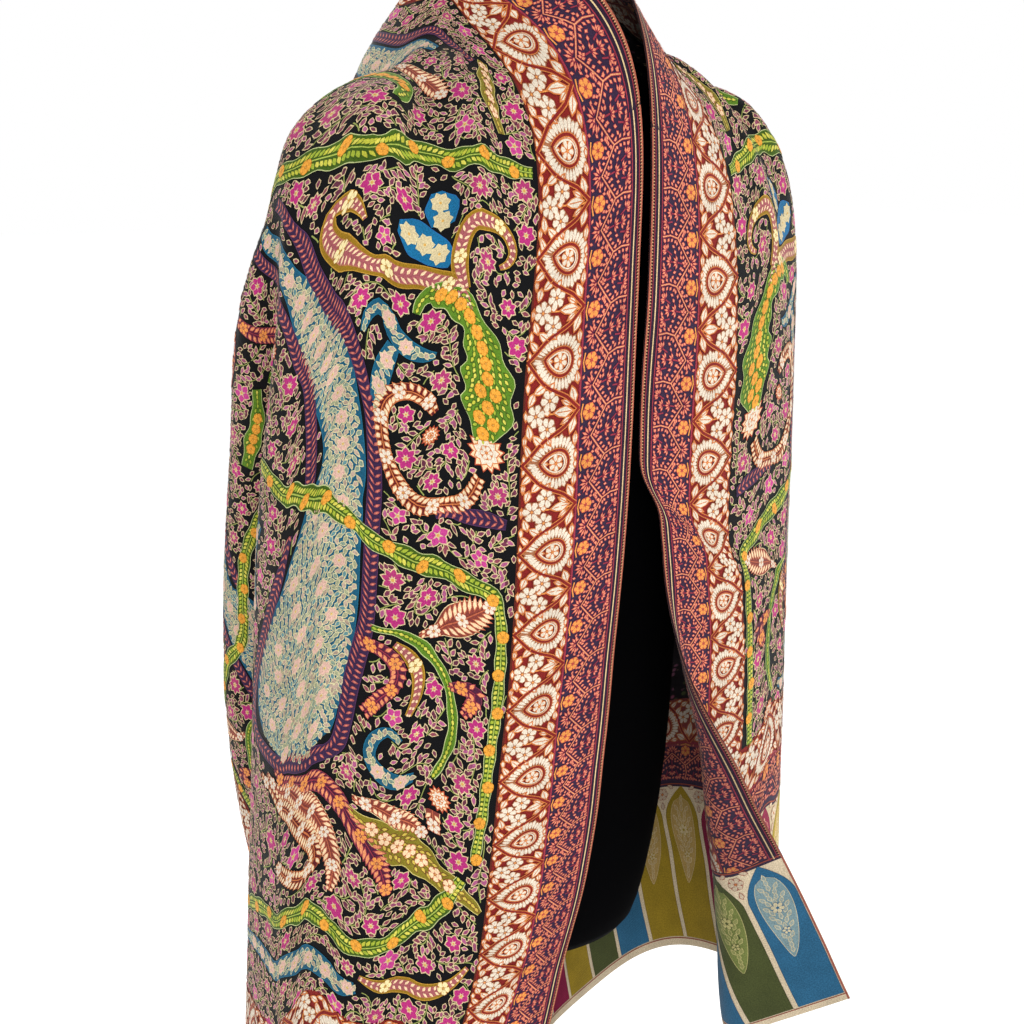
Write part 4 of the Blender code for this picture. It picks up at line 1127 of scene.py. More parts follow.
RUST, OCHRE, SAGE = palette("#a8482e", "#b87a20", "#c4b48c")
# Figures of long pointed petals: petal, its line, flower and spacing of the flowers.
PLUMES = {
    "feather": (colour("#e2cba4"), colour("#bc6a3c"), CREAM, 0.024),
    "blush": (PEACH, colour("#b05c40"), CREAM, 0.024),
    "coral": (colour("#dc8c60"), colour("#8c3040"), ORANGE, 0.020),
}
FIGURE_STEP = 0.0035
LEAST_HALF_WIDTH = 0.0012


def picked(palette, count, chance):
    return palette[chance.randint(len(palette), size=count)]


def draw_bloom(drawing, centre, radius, layer):
    """A large open flower with three rings of petals."""
    drawing.line_width = 1.4
    drawing.flowers(centre, radius, 13, PEACH, RUST, EYE, 0.1, layer, 1.0, POINTED)
    drawing.flowers(centre, radius * 0.74, 9, CREAM, SALMON, RUST, 0.3, layer + 2, 1.0, POINTED)
    drawing.flowers(centre, radius * 0.36, 6, CREAM, SALMON, ORANGE, 0.3, layer + 4, 0.95)
    drawing.line_width = 1.0


def draw_figure(drawing, plan, kind, layer, line, chance):
    """One large figure of the field with what is woven inside it."""
    if kind == "bloom":
        centre, radius = line[0, :2], line[0, 2]
        draw_bloom(drawing, centre, radius, layer)
        plan.claim([centre], radius)
        return
    points = smooth_path(line, FIGURE_STEP)
    path, half_widths = points[:, :2], np.maximum(points[:, 2], LEAST_HALF_WIDTH)
    ground, edge = FIGURE_COLOURS[kind]
    if kind in ("vine", "paisley", "olive"):
        travel = np.linspace(0, len(path) * FIGURE_STEP, len(path))
        half_widths = half_widths * (1 + 0.13 * np.cos(travel * 2 * math.pi / 0.022))
    drawing.band(path, half_widths, ground, edge, layer)
    plan.claim(path, half_widths + 0.0010)

    def beside(pitch, share_out, start=0.002):
        """Rows of places on both sides of the middle line."""
        places, angles, share = along_path(path, pitch, start)
        room = np.interp(share, np.linspace(0, 1, len(path)), half_widths)
        for aside in (-1, 1):
            yield aside, polar(places, aside * room * share_out, angles + math.pi / 2), angles, room

    def paired(shape, pitch, share_out, lean, long, width, tints, tint_line, up=1):
        """Leaves in pairs on both sides of the middle line, their length a share of the room."""
        for aside, centres, angles, room in beside(pitch, share_out):
            tint = picked(tints, len(centres), chance) if tints is LIME_LEAVES else tints
            turn = angles + aside * lean
            drawing.stamp(shape, centres, turn, room * long, width, tint, tint_line, layer + up)

    def fanned(pitch, inset, spread, length, width, tints, tint_line):
        """Leaves all over the figure that fan out from its middle line."""
        spots = scattered(path, half_widths, pitch, inset)
        if tints is LIME_LEAVES:
            tints = picked(tints, len(spots), chance)
        turn = spots[:, 3] + spots[:, 2] * spread
        drawing.stamp(SMALL_LEAF, spots[:, :2], turn, length, width, tints, tint_line, layer + 1)

    def dotted(pitch, inset, radius, petals, tint, tint_line, *plump_and_shape):
        """Flowers in rows all over the figure."""
        spots = scattered(path, half_widths, pitch, inset)
        drawing.flowers(spots[:, :2], radius, petals, tint, tint_line, EYE, spots[:, 4], layer + 3,
                        *plump_and_shape)

    if kind in ("teal", "blue"):
        spots = scattered(path, half_widths, 0.0048, 0.0012)
        turn = spots[:, 3] + chance.uniform(-1.3, 1.3, len(spots))
        tints = picked(SEA_LEAVES, len(spots), chance)
        if kind == "teal":
            drawing.stamp(SMALL_LEAF, spots[:, :2], turn, 0.0066, 0.0036, tints, SEA_LINE, layer + 1)
            dotted(0.0230, 0.0050, 0.0058, 7, ROSE, SEA_LINE, 0.95, POINTED)
        else:
            dotted(0.0150, 0.0050, 0.0072, 7, SAGE, SEA_LINE, 0.95, POINTED)
    elif kind == "vine":
        paired(SMALL_LEAF, 0.0034, 0.46, 0.75, 1.05, 0.0035, LIME_LEAVES, LIME_LINE)
        drawing.thread(path, 0.0008, colour("#9fb04c"), layer + 3)
        near, far = (row for _, row, _, _ in beside(0.026, 0.30, 0.010))
        blooms = np.concatenate([near[::2], far[1::2]])
        drawing.flowers(blooms, 0.0045, 5, GOLD, OCHRE, EYE, 0.5, layer + 3, 0.95)
    elif kind == "paisley":
        fanned(0.0046, 0.0014, 0.9, 0.0058, 0.0030, LIME_LEAVES, LIME_LINE)
        dotted(0.0112, 0.0060, 0.0046, 5, GOLD, OCHRE, 0.95)
    elif kind == "olive":
        fanned(0.0048, 0.0016, 0.8, 0.0062, 0.0031, colour("#c4ae48"), colour("#6c4424"))
        dotted(0.0140, 0.0050, 0.0052, 5, PEACH, RUST)
    elif kind == "chevrons":
        tint, tint_line = palette("#d4826a", "#a4524e")
        for aside, centres, angles, _ in beside(0.0048, 0.44, 0.003):
            turn = angles + math.pi - aside * 0.80
            drawing.stamp(SMALL_LEAF, centres, turn, 0.0058, 0.0018, tint, tint_line, layer + 1)
    elif kind == "scroll":
        drawing.band(path, half_widths * 0.66, *palette("#9c5458", "#a86c48"), layer + 1)
        paired(SMALL_LEAF, 0.0046, 0.36, 0.8, 0.72, 0.0019, PEACH, PEACH, 2)
        blooms, _, _ = along_path(path, 0.046, 0.022)
        drawing.flowers(blooms, 0.0052, 5, *palette("#e6d6a0", "#a87430"), EYE, 0.9, layer + 3)
    else:
        tint, tint_line, bloom, pitch = PLUMES[kind]
        paired(POINTED, 0.0044, 0.10, 0.85, 1.35, 0.0036, tint, tint_line)
        drawing.thread(path, 0.0008, tint_line, layer + 3)
        blooms, _, _ = along_path(path, pitch, 0.010)
        drawing.flowers(blooms, 0.0050, 6, bloom, tint_line, EYE, 0.4, layer + 4)


# Ground cover: tries at random places, spacing of the flowers, and spacing, steps and step length of a stem.
BLOOM_TRIES = 12000
LEAF_TRIES = 26000
BLOOM_SPACING = 0.0225
STEM_SPACING = 0.0096
STEM_STEPS = 16
STEM_STEP = 0.0032
GROUND_CELL = 0.005


def flow_angle(places):
    """The way the stems run at each place."""
    a, v = places[..., 0], places[..., 1]
    broad = 1.9 * np.sin(17 * a + 4 * np.sin(23 * v)) + 1.6 * np.cos(21 * v - 9 * a)
    return broad + 1.2 * np.sin(38 * a + 31 * v) + 0.9 * np.sin(12 * v + 5)


def stems(plan, chance):
    """Evenly spaced curving stems over the free ground."""
    rows, columns = np.arange(0, RIGHT_LENGTH, GROUND_CELL), np.arange(FIELD_EDGE, FIELD_MIDDLE, GROUND_CELL)
    grid = np.stack(np.meshgrid(rows, columns), -1)
    seeds = grid.reshape(-1, 2) + chance.uniform(-0.002, 0.002, (grid.size // 2, 2))
    seeds = seeds[chance.permutation(len(seeds))]
    crowded = FieldPlan()
    crowded.taken[:] = plan.taken
    found = []
    for seed in seeds:
        if not crowded.free(seed):
            continue
        halves = []
        for way in (1, -1):
            place, line = seed, []
            for _ in range(STEM_STEPS):
                angle = flow_angle(place)
                place = place + way * STEM_STEP * np.array([math.cos(angle), math.sin(angle)])
                if not crowded.free(place):
                    break
                line.append(place)
            halves.append(line)
        line = np.array(halves[1][::-1] + [seed] + halves[0])
        if len(line) >= 4:
            found.append(line)
            crowded.claim(line, STEM_SPACING)
    return found


def random_places(count, chance):
    """Places anywhere in the half field."""
    along = chance.uniform(0, RIGHT_LENGTH, count)
    return np.stack([along, chance.uniform(FIELD_EDGE, FIELD_MIDDLE, count)], 1)


def draw_ground_cover(drawing, plan, chance):
    """Magenta flowers, stems with pairs of leaves, and single leaves in the gaps."""
    tries = random_places(BLOOM_TRIES, chance)
    ring = np.linspace(0, 2 * math.pi, 9)[:-1]
    crowded = FieldPlan()
    blooms = []
    for place in tries:
        if crowded.free(place) and plan.free(polar(place, 0.0062, ring)).all():
            blooms.append(place)
            crowded.claim([place], BLOOM_SPACING)
    blooms = np.array(blooms)
    plan.claim(blooms, 0.0055)
    size = chance.uniform(0.0064, 0.0090, len(blooms))
    turn = chance.uniform(0, 2, len(blooms))
    kinds = chance.randint(4, size=len(blooms))
    drawing.line_width = 1.45
    flower_kinds = ((6, MAGENTA, 0.85), (5, BRIGHT_PINK, 0.72), (7, MAGENTA, 0.85), (8, DEEP_PINK, 0.85))
    for kind, (petals, tint, plump) in enumerate(flower_kinds):
        chosen = kinds == kind
        drawing.flowers(blooms[chosen], size[chosen], petals, tint, PINK_LINE, EYE, turn[chosen], 2, plump,
                        POINTED)
    drawing.line_width = 1.0

    def lay_leaves(centres, angles, lengths, room):
        """Leaves wherever both ends and the middle are free, one after the other."""
        kept = []
        for index, (centre, angle, length) in enumerate(zip(centres, angles, lengths)):
            tips = polar(centre, np.array([0, 0.40, -0.30]) * length, angle)
            if plan.free(tips).all():
                kept.append(index)
                plan.claim(tips, room)
        tints = picked(PINK_LEAVES, len(kept), chance)
        widths = chance.uniform(0.0033, 0.0040, len(kept))
        drawing.stamp(SMALL_LEAF, centres[kept], angles[kept], lengths[kept], widths, tints, PINK_LINE, 1)

    for line in stems(plan, chance):
        drawing.thread(line, 0.0007, STEM, 0)
        places, angles, _ = along_path(line, 0.0052, 0.001)
        for aside in (-1, 1):
            lean = angles + aside * chance.uniform(0.65, 0.95, len(places))
            lay_leaves(polar(places, 0.0046, lean), lean, chance.uniform(0.0070, 0.0086, len(places)), 0.0012)
    tries = random_places(LEAF_TRIES, chance)
    turns = flow_angle(tries) + chance.uniform(-1, 1, LEAF_TRIES)
    lay_leaves(tries, turns, np.full(LEAF_TRIES, 0.0060), 0.0020)


def mirrored(drawing):
    """The half drawing laid on both halves of both sides."""
    whole = Ornament()
    flat, *parts = drawing.whole()
    for side in (-1, 1):
        for down in (flat[:, 1], SHAWL_WIDTH - flat[:, 1]):
            whole.add(np.stack([side * flat[:, 0], down], 1), *parts)
    return whole


def field_drawings(seed):
    """The large figures and the ground cover of the whole field."""
    chance = np.random.RandomState(seed)
    plan = FieldPlan()
    figures, cover = Ornament(), Ornament()
    for kind, layer, line in FIGURES:
        draw_figure(figures, plan, kind, layer, np.array(line) / 1000, chance)
    draw_ground_cover(cover, plan, chance)
    return mirrored(figures), mirrored(cover)


# ---- ends ----
GATE_PITCH = 0.040
CELL_OF_PANELS = 0.0058
GATE_HALF = 0.0172
# Distances from the end: the foot and the top of a panel, and of the cone in it.
GATE_FOOT, GATE_TOP, ARCH_SPRING, ARCH_RISE = 0.008, 0.146, 0.112, 0.034
CONE_FOOT, CONE_TOP, CONE_LENGTH = 0.058, 0.136, 0.078
GATES_FROM_EDGE = ("blue", "green", "blue", "crimson", "olive", "green", "blue", "crimson", "olive",
                   "olive", "blue", "green", "olive", "crimson", "blue", "green", "olive", "blue")
GATE_COLOURS = {
    "blue": palette("#006c92", "#86a8ac", "#e4d9b0"), "green": palette("#405414", "#7c8c40", "#c9c27c"),
    "crimson": palette("#8c0c3c", "#a83a4a", "#e0b08c"), "olive": palette("#a88f00", "#c8a85c", "#e2cf9c"),
}


def gates_run(drawing, to_cloth):
    """The row of arched panels along one end."""
    drawing.to_cloth = to_cloth
    cream, rust = colour("#d8c6a8"), colour("#a04a30")
    for panel, kind in enumerate(GATES_FROM_EDGE):
        ground, cone, line = GATE_COLOURS[kind]
        middle = (panel + 0.5) * GATE_PITCH
        rise = np.linspace(GATE_FOOT, GATE_TOP, 26)
        taper = np.clip((rise - ARCH_SPRING) / ARCH_RISE, 0, 1)
        half_widths = GATE_HALF * (1 - taper**1.6) + 0.0008 + 0.0022 * np.sin(taper * math.pi) * (taper > 0)
        path = level(rise, middle)[:, ::-1]
        drawing.band(path, half_widths, ground, ground * 0.6, 0, CELL_OF_PANELS)
        rise = np.linspace(CONE_FOOT, CONE_TOP, 20)
        share = (CONE_TOP - rise) / CONE_LENGTH
        half_widths = 0.0122 * np.maximum(np.sin(share**0.62 * math.pi), 0) ** 0.75 + 0.0006
        path = np.stack([middle + 0.004 * share**3, rise], 1)
        drawing.band(path, half_widths, cone, line, 1, CELL_OF_PANELS)
        spots = scattered(path, half_widths, 0.0058, 0.0022)
        tint = cone * 0.75 + line * 0.25
        turn = spots[:, 3] + spots[:, 2] * 0.9
        drawing.stamp(SMALL_LEAF, spots[:, :2], turn, 0.0070, 0.0036, tint, line, 2)
        drawing.flowers([(middle, 0.106)], 0.0056, 6, line, ground, ground, 0.4, 4)
        drawing.flowers([(middle + 0.001, 0.084)], 0.0036, 5, line, ground, cone, 0.2, 4)
        corner = middle + GATE_PITCH / 2
        drawing.flowers([(corner, 0.1385)], 0.0062, 6, cream, rust, ORANGE, 0.0, 2)
        drawing.stamp(LEAF, [(corner - 0.0085, 0.1455), (corner + 0.0085, 0.1455), (corner, 0.1275)],
                      (0.5, -0.5, math.pi / 2), 0.0076, 0.0040, cream, rust, 1)
    for w in (0.0066, 0.1482):
        drawing.thread(level(np.arange(0, SHAWL_WIDTH, LINE_STEP), w), 0.0009, rust, 1)


def end_band_run(drawing, to_cloth):
    """The rosette and lattice bands across one end."""
    drawing.to_cloth = to_cloth
    units = 9
    first = (SHAWL_WIDTH - units * PITCH) / 2
    junction(drawing, first)
    for unit in range(units):
        rosette(drawing, first + (unit + 0.5) * PITCH, math.radians((8, -11, 4, -6)[unit % 4]))
        junction(drawing, first + (unit + 1) * PITCH)
    for unit in range(-1, 2 * units + 1):
        lattice_unit(drawing, first + 0.004 + unit * PITCH / 2)
    across = np.arange(ROSETTE_END, SHAWL_WIDTH - ROSETTE_END, LINE_STEP)
    drawing.thread(level(across, LATTICE_LINE), 0.0014, WINE, 1)


def stitched_edge(drawing, to_cloth, length):
    """Short bars and two lines along an edge."""
    drawing.to_cloth = to_cloth
    whole = np.append(np.arange(0, length, LINE_STEP), length)
    drawing.thread(level(whole, 0.0008), 0.0014, colour("#b0604c"), 0)
    length -= GATES - 0.003
    bars = level(np.arange(0.001, length, 0.0021), 0.0016)
    drawing.stamp(DASH, bars, math.pi / 2, 0.0028, 0.0013, WARM_WHITE, SAND, 1)
    straight = np.append(np.arange(0, length, LINE_STEP), length)
    for w, width, tint in ((0.0034, 0.0006, WINE), (0.0064, 0.0009, WARM_WHITE), (0.0095, 0.0008, WINE)):
        drawing.thread(level(straight, w), width, tint, 1)


# ---- materials ----
def new_node(tree, kind, inputs=(), **settings):
    """A shader node with its settings, its plain values and its links."""
    node = tree.nodes.new("ShaderNode" + kind)
    for name, value in settings.items():
        setattr(node, name, value)
    for socket, value in dict(inputs).items():
        if isinstance(value, bpy.types.NodeSocket):
            tree.links.new(value, node.inputs[socket])
        else:
            node.inputs[socket].default_value = value
    return node


def new_group(name, **inputs):
    """A node group that takes these values and puts out a tint and a normal."""
    group = bpy.data.node_groups.new(name, "ShaderNodeTree")
    sockets = [("INPUT", *given) for given in inputs.items()]
    for way, socket, kind in (*sockets, ("OUTPUT", "Tint", "Color"), ("OUTPUT", "Normal", "Vector")):
        group.interface.new_socket(socket, in_out=way, socket_type="NodeSocket" + kind)
    given = group.nodes.new("NodeGroupInput").outputs
    group.nodes.new("NodeGroupOutput")
    return group, given


def math_node(tree, operation, *values):
    return new_node(tree, "Math", dict(enumerate(values)), operation=operation).outputs[0]


def ranged(tree, value, low=0.0, high=1.0, to_low=0.0, to_high=1.0, **settings):
    """A value moved from one range to another."""
    limits = {"Value": value, "From Min": low, "From Max": high, "To Min": to_low, "To Max": to_high}
    return new_node(tree, "MapRange", limits, **settings).outputs["Result"]


def close_group(group, given, value, relief, distance):
    """The tone and the low relief that a weave or a grain puts out."""
    tint = new_node(group, "HueSaturation", {"Color": given["Tint"], "Value": value})
    bump = new_node(group, "Bump", {"Height": relief, "Strength": given["Strength"], "Distance": distance})
    out = group.nodes["Group Output"].inputs
    group.links.new(tint.outputs["Color"], out["Tint"])
    group.links.new(bump.outputs["Normal"], out["Normal"])


def fine_twill():
    """Weave for the flat map: slanting ribs, loose fibres and the uneven take-up of dye."""
    group, given = new_group("Fine Twill", Tint="Color", Strength="Float")
    place = new_node(group, "UVMap", uv_map="cloth").outputs["UV"]
    wave = {"Vector": place, "Scale": 330.0, "Distortion": 1.2, "Detail": 1.0, "Detail Scale": 3.0}
    ribs = new_node(group, "TexWave", wave, bands_direction="DIAGONAL").outputs["Fac"]
    grain = new_node(group, "TexNoise", {"Vector": place, "Scale": 900.0, "Detail": 2.0}).outputs["Fac"]
    slow = new_node(group, "TexNoise", {"Vector": place, "Scale": 45.0, "Detail": 3.0}).outputs["Fac"]
    relief = math_node(group, "MULTIPLY_ADD", ribs, grain, 0.2)
    shade = ranged(group, grain, 0.3, 0.7, 0.72, 1.25)
    uneven = ranged(group, slow, 0.3, 0.7, 0.88, 1.1)
    close_group(group, given, math_node(group, "MULTIPLY", shade, uneven), relief, 0.0004)
    return group


def finished_material(tree, group, roughness, sheen, shine=0.12):
    """The shader that ends a material, with its plain values on its own sockets."""
    shader = new_node(tree, "BsdfPrincipled", {
        "Roughness": roughness, "Sheen Weight": sheen, "Sheen Roughness": 0.45, "Specular IOR Level": shine,
        "Base Color": group.outputs["Tint"], "Normal": group.outputs["Normal"]})
    new_node(tree, "OutputMaterial", {"Surface": shader.outputs["BSDF"]})


def new_material(name):
    made = bpy.data.materials.new(name)
    made.use_nodes = True
    made.node_tree.nodes.clear()
    return made, made.node_tree


def banded(tree, value, bands):
    """Flat colours by value, from (start, colour) rows with the value running from 0 to 1."""
    ramp = new_node(tree, "ValToRGB", {"Fac": value})
    ramp.color_ramp.interpolation = "CONSTANT"
    stops = ramp.color_ramp.elements
    while len(stops) < len(bands):
        stops.new(0.5)
    for stop, (start, tint) in zip(stops, bands):
        stop.position = start
        stop.color = (*tint, 1)
    return ramp.outputs["Color"]


def edge_bands(dyes):
    """Ground colours inwards from a long edge, as (start in tenths of a metre, colour) rows."""
    return ((0.0, colour("#2b1a20")), (0.032, colour("#2a1b2e")), (10 * EDGE_STRIP, dyes.lattice_ground),
            (10 * LATTICE_END, colour("#7c2438")), (0.464, dyes.rosette_ground), (0.862, colour("#5c241a")),
            (0.876, dyes.field_ground))


def end_bands(dyes):
    """Ground colours inwards from a short end, as (start in quarters of a metre, colour) rows."""
    return ((0.0, dyes.divider), (0.145 * 4, dyes.lattice_ground), (0.1830 * 4, colour("#7c2438")),
            (0.1850 * 4, dyes.rosette_ground))


FLECKS = ((0.0, "#1a1418"), (0.30, "#6f3a56"), (0.48, "#3c4420"), (0.58, "#8a6a58"), (0.68, "#251a20"),
          (0.84, "#7c3050"), (0.93, "#b09468"))


def mottled(tree, flat):
    """Flecks of floating thread, as on the back of the field."""
    cells = new_node(tree, "TexVoronoi", {"Vector": flat, "Scale": 190.0, "Randomness": 0.9})
    split = new_node(tree, "SeparateColor", {"Color": cells.outputs["Color"]})
    fleck = banded(tree, split.outputs["Red"], [(start, colour(code)) for start, code in FLECKS])
    return mixed(tree, ranged(tree, cells.outputs["Distance"], 0.25, 0.5), fleck, colour("#191319"))


def mixed(tree, share, first, second):
    """The first colour where the share is 0 and the second where it is 1."""
    tints = (tint if isinstance(tint, bpy.types.NodeSocket) else (*tint, 1) for tint in (first, second))
    inputs = {"Factor": share, **dict(zip("AB", tints))}
    return new_node(tree, "Mix", inputs, data_type="RGBA").outputs["Result"]


def woven_finish(tree, twill, tint, strength, sheen):
    woven = new_node(tree, "Group", {"Tint": tint, "Strength": strength}, node_tree=twill)
    finished_material(tree, woven, 0.85, sheen)


def cloth_ground(name, twill, dyes, reverse=False, end=None):
    """The shawl's ground: edge strip, bands and field, or the panels and bands of an end."""
    made, tree = new_material(name)
    flat = new_node(tree, "UVMap", uv_map="cloth").outputs["UV"]
    place = new_node(tree, "SeparateXYZ", {"Vector": flat}).outputs
    from_edge = math_node(tree, "MINIMUM", place["Y"], math_node(tree, "SUBTRACT", SHAWL_WIDTH, place["Y"]))
    tint = banded(tree, math_node(tree, "MULTIPLY", from_edge, 10.0), edge_bands(dyes))
    if end is not None:
        past = math_node(tree, "SUBTRACT", place["X"], end)
        from_end = math_node(tree, "ABSOLUTE", past)
        panels = math_node(tree, "LESS_THAN", from_end, GATES)
        edge = ranged(tree, panels, to_low=ROSETTE_END, to_high=0.0)
        beside = math_node(tree, "LESS_THAN", from_edge, edge)
        across = banded(tree, math_node(tree, "MULTIPLY", from_end, 4.0), end_bands(dyes))
        tint = mixed(tree, beside, across, tint)
    elif reverse:
        in_field = math_node(tree, "GREATER_THAN", from_edge, ROSETTE_END + 0.0005)
        tint = mixed(tree, in_field, tint, mottled(tree, flat))
    if reverse:
        dull = new_node(tree, "HueSaturation", {"Color": tint, "Saturation": 0.85, "Value": 0.85})
        tint = dull.outputs["Color"]
    woven_finish(tree, twill, tint, dyes.weave, 0.08)
    return made


def woven_ornament(name, twill, weave, dullness):
    """Ornament thread: each motif's own colour inside a fine line round its edge."""
    made, tree = new_material(name)
    read = {key: new_node(tree, "Attribute", attribute_name=key).outputs
            for key in ("fill", "line", "depth_mm")}
    inside = ranged(tree, read["depth_mm"]["Fac"], 0.36, 0.56, interpolation_type="SMOOTHSTEP")
    tint = mixed(tree, inside, read["line"]["Color"], read["fill"]["Color"])
    woven_finish(tree, twill, mixed(tree, dullness, tint, colour("#3c2430")), weave, 0.12)
    return made


def fine_grain():
    """Grain for places in metres: a small uneven tone and a low relief, as of knitting or of powder coat."""
    group, given = new_group("Fine Grain", Tint="Color", Size="Float", Unevenness="Float", Strength="Float")
    place = new_node(group, "TexCoord").outputs["Object"]
    noise = {"Vector": place, "Scale": given["Size"], "Detail": 2.0}
    grain = new_node(group, "TexNoise", noise).outputs["Fac"]
    shade = math_node(group, "MULTIPLY_ADD", grain, given["Unevenness"], 1.0)
    close_group(group, given, shade, grain, 0.0003)
    return group


def grained(name, tint, size, unevenness, strength, roughness, shine):
    """Jersey or powder coat: one colour with a fine grain."""
    made, tree = new_material(name)
    group = bpy.data.node_groups.get("Fine Grain") or fine_grain()
    values = {"Tint": (*tint, 1), "Size": size, "Unevenness": unevenness, "Strength": strength}
    finished_material(tree, new_node(tree, "Group", values, node_tree=group), roughness, 0.0, shine)
    return made


# ---- settings ----
def dye(name, code, description):
    """A colour that can be changed in the sidebar."""
    return FloatVectorProperty(name=name, description=description, subtype="COLOR", size=3, min=0, max=1,
                               default=colour(code))


def number(name, description, default, least, most, **more):
    """A number that can be changed in the sidebar."""
    return FloatProperty(name=name, description=description, default=default, min=least, max=most, **more)


def size(*said, **more):
    return number(*said, unit="LENGTH", **more)


def angle(name, description, degrees, most):
    most = math.radians(most)
    return number(name, description, math.radians(degrees), -most, most, subtype="ANGLE", unit="ROTATION")


def half_across(node):
    low, high = BOXES[node]
    return (high.x - low.x) / 2


class ShawlClothSettings(bpy.types.PropertyGroup):
    wall: size("Thickness", "Thickness of the cloth", 0.0009, 0.0006, 0.002, precision=4)
    weave: number("Weave", "How strongly the ribs of the twill stand out", 0.5, 0, 1, subtype="FACTOR")
    dullness: number("Reverse dullness", "How much duller the ornament is on the reverse", 0.42, 0, 1,
                     subtype="FACTOR")
    seed: IntProperty(name="Scatter", description="Changes where the small flowers and leaves fall",
                      default=7, min=0)
    lattice_ground: dye("Lattice ground", "#33233a", "Ground of the outer band of the border")
    rosette_ground: dye("Rosette ground", "#7c1f1c", "Ground of the inner band of the border")
    field_ground: dye("Field ground", "#08080b", "Ground of the field")
    divider: dye("Dividers", "#cdb894", "Ground between the arched panels of the ends")


class ShawlFormSettings(bpy.types.PropertyGroup):
    jersey: dye("Jersey", "#040405", "Colour of the cover of the form")
    rounding: IntProperty(name="Rounding", description="How often the surface is divided to round it",
                          default=1, min=0, max=3)


class ShawlStandSettings(bpy.types.PropertyGroup):
    metal: dye("Coating", "#0c0c0d", "Colour of the powder coat")
    pole_radius: size("Pole radius", "Radius of the pole", half_across("stand_pole"), 0.005, 0.03)
    collar_radius: size("Collar radius", "Radius of the collar under the form", half_across("stand_collar"),
                        0.01, 0.06)
    base_radius: size("Base radius", "Radius of the round base", half_across("stand_base"), 0.08, 0.25)


class ShawlStudioSettings(bpy.types.PropertyGroup):
    distance: size("Distance", "Distance of the camera from the middle of the form", 1.3, 0.5, 10)
    height: size("Height", "Height of the camera above the floor", 1.40, 0, 4)
    turn: angle("Turn", "Turn of the camera round the form", -36, 180)
    tilt: angle("Tilt", "How far the camera looks down", 12.5, 90)
    lens: number("Lens", "Focal length for a frame 36 mm wide", 62.8, 10, 300, unit="CAMERA")
    sky: number("Sky", "Strength of the even light from all round", 0.72, 0, 4)
    floor_glow: number("Floor glow", "Light that the pale floor gives off", 0.32, 0, 2)


SETTINGS = (
    ("shawl_cloth", ShawlClothSettings, "Cloth"),
    ("shawl_form", ShawlFormSettings, "Form"),
    ("shawl_stand", ShawlStandSettings, "Stand"),
    ("shawl_studio", ShawlStudioSettings, "Studio"),
)


# ---- pieces ----
SHELLS = (
    ("shawl_end_right", -RIGHT_LENGTH, RIGHT_BAND, "end_band",
     ("end_band_right_front", "end_band_right_side", "gates_right_front", "gates_right_side")),
    ("shawl_right", RIGHT_BAND, NECK_RIGHT, "field",
     ("neck_border_right", "field_right_front", "field_right_side", "hem_border_right")),
    ("shawl_back", NECK_RIGHT, NECK_LEFT, "field",
     ("neck_border_nape", "field_shoulders", "field_back", "hem_border_back")),
    ("shawl_left", NECK_LEFT, LEFT_BAND, "field",
     ("neck_border_left", "field_left_front", "field_left_side", "hem_border_left")),
    ("shawl_end_left", LEFT_BAND, LEFT_LENGTH, "end_band",
     ("end_band_left_front", "end_band_left_side", "gates_left_front", "gates_left_side")),
)

# What one operator leaves for the next: the cloth's surface and the materials of the ornament.
WORK = {}


def needed(*keys):
    """What earlier operators left, or an error that says what is missing."""
    missing = [key for key in keys if key not in WORK]
    if missing:
        raise RuntimeError(f"Lay the cloth first: no {', '.join(missing)}")
    return [WORK[key] for key in keys]


class SHAWL_OT_cloth(bpy.types.Operator):
    """Lay the shawl in five lengths, each a thin closed wall"""

    bl_idname = "shawl.cloth"
    bl_label = "Cloth"

    def execute(self, context):
        dyes = context.scene.shawl_cloth
        twill = fine_twill()
        cloth = FineCloth(dyes.wall)
        grounds = {None: (cloth_ground("Shawl ground", twill, dyes),
                          cloth_ground("Shawl reverse", twill, dyes, reverse=True))}
        for side, end in (("right", -RIGHT_LENGTH), ("left", LEFT_LENGTH)):
            grounds[side] = (cloth_ground(f"Shawl {side} end", twill, dyes, end=end),
                             cloth_ground(f"Shawl {side} end reverse", twill, dyes, reverse=True, end=end))
        for name, low, high, slot, nodes in SHELLS:
            side = name.split("_")[-1] if "end" in name else None
            made = cloth_shell(name, cloth, low, high, grounds[side])
            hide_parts(*nodes)
        WORK["cloth"] = cloth
        WORK["ornament"] = woven_ornament("Woven ornament", twill, dyes.weave, 0.0)
        WORK["reverse"] = woven_ornament("Woven ornament reverse", twill, dyes.weave, dyes.dullness)
        return {"FINISHED"}


class SHAWL_OT_borders(bpy.types.Operator):
    """Weave the stitched edges, the lattice bands and the rosette bands"""

    bl_idname = "shawl.borders"
    bl_label = "Borders"

    def execute(self, context):
        cloth, ornament, reverse = needed("cloth", "ornament", "reverse")
        drawing = border_drawing()
        for name, low, high, _, _ in SHELLS:

            def inside(along, down, low=low, high=high):
                edge = np.minimum(down, SHAWL_WIDTH - down) < EDGE_STRIP + 0.0004
                between = (along > RIGHT_GATES) & (along < LEFT_GATES)
                return (along > low) & (along < high) & (edge | between)

            def seen_within(along, down, inside=inside, back=name == "shawl_back"):
                """At mid back only the neck edge shows its reverse."""
                return inside(along, down) & ((down < SHAWL_WIDTH / 2) | (not back))

            piece = name.replace("shawl", "borders")
            drawing.finished(piece, cloth, inside, 1, ornament, "border")
            drawing.finished(piece + "_reverse", cloth, seen_within, -1, reverse, "border")
        return {"FINISHED"}


def on_panels(along, down):
    return (along < RIGHT_GATES) | (along > LEFT_GATES)


def on_end_band(along, down):
    return ~on_panels(along, down) & (down > ROSETTE_END) & (down < SHAWL_WIDTH - ROSETTE_END)


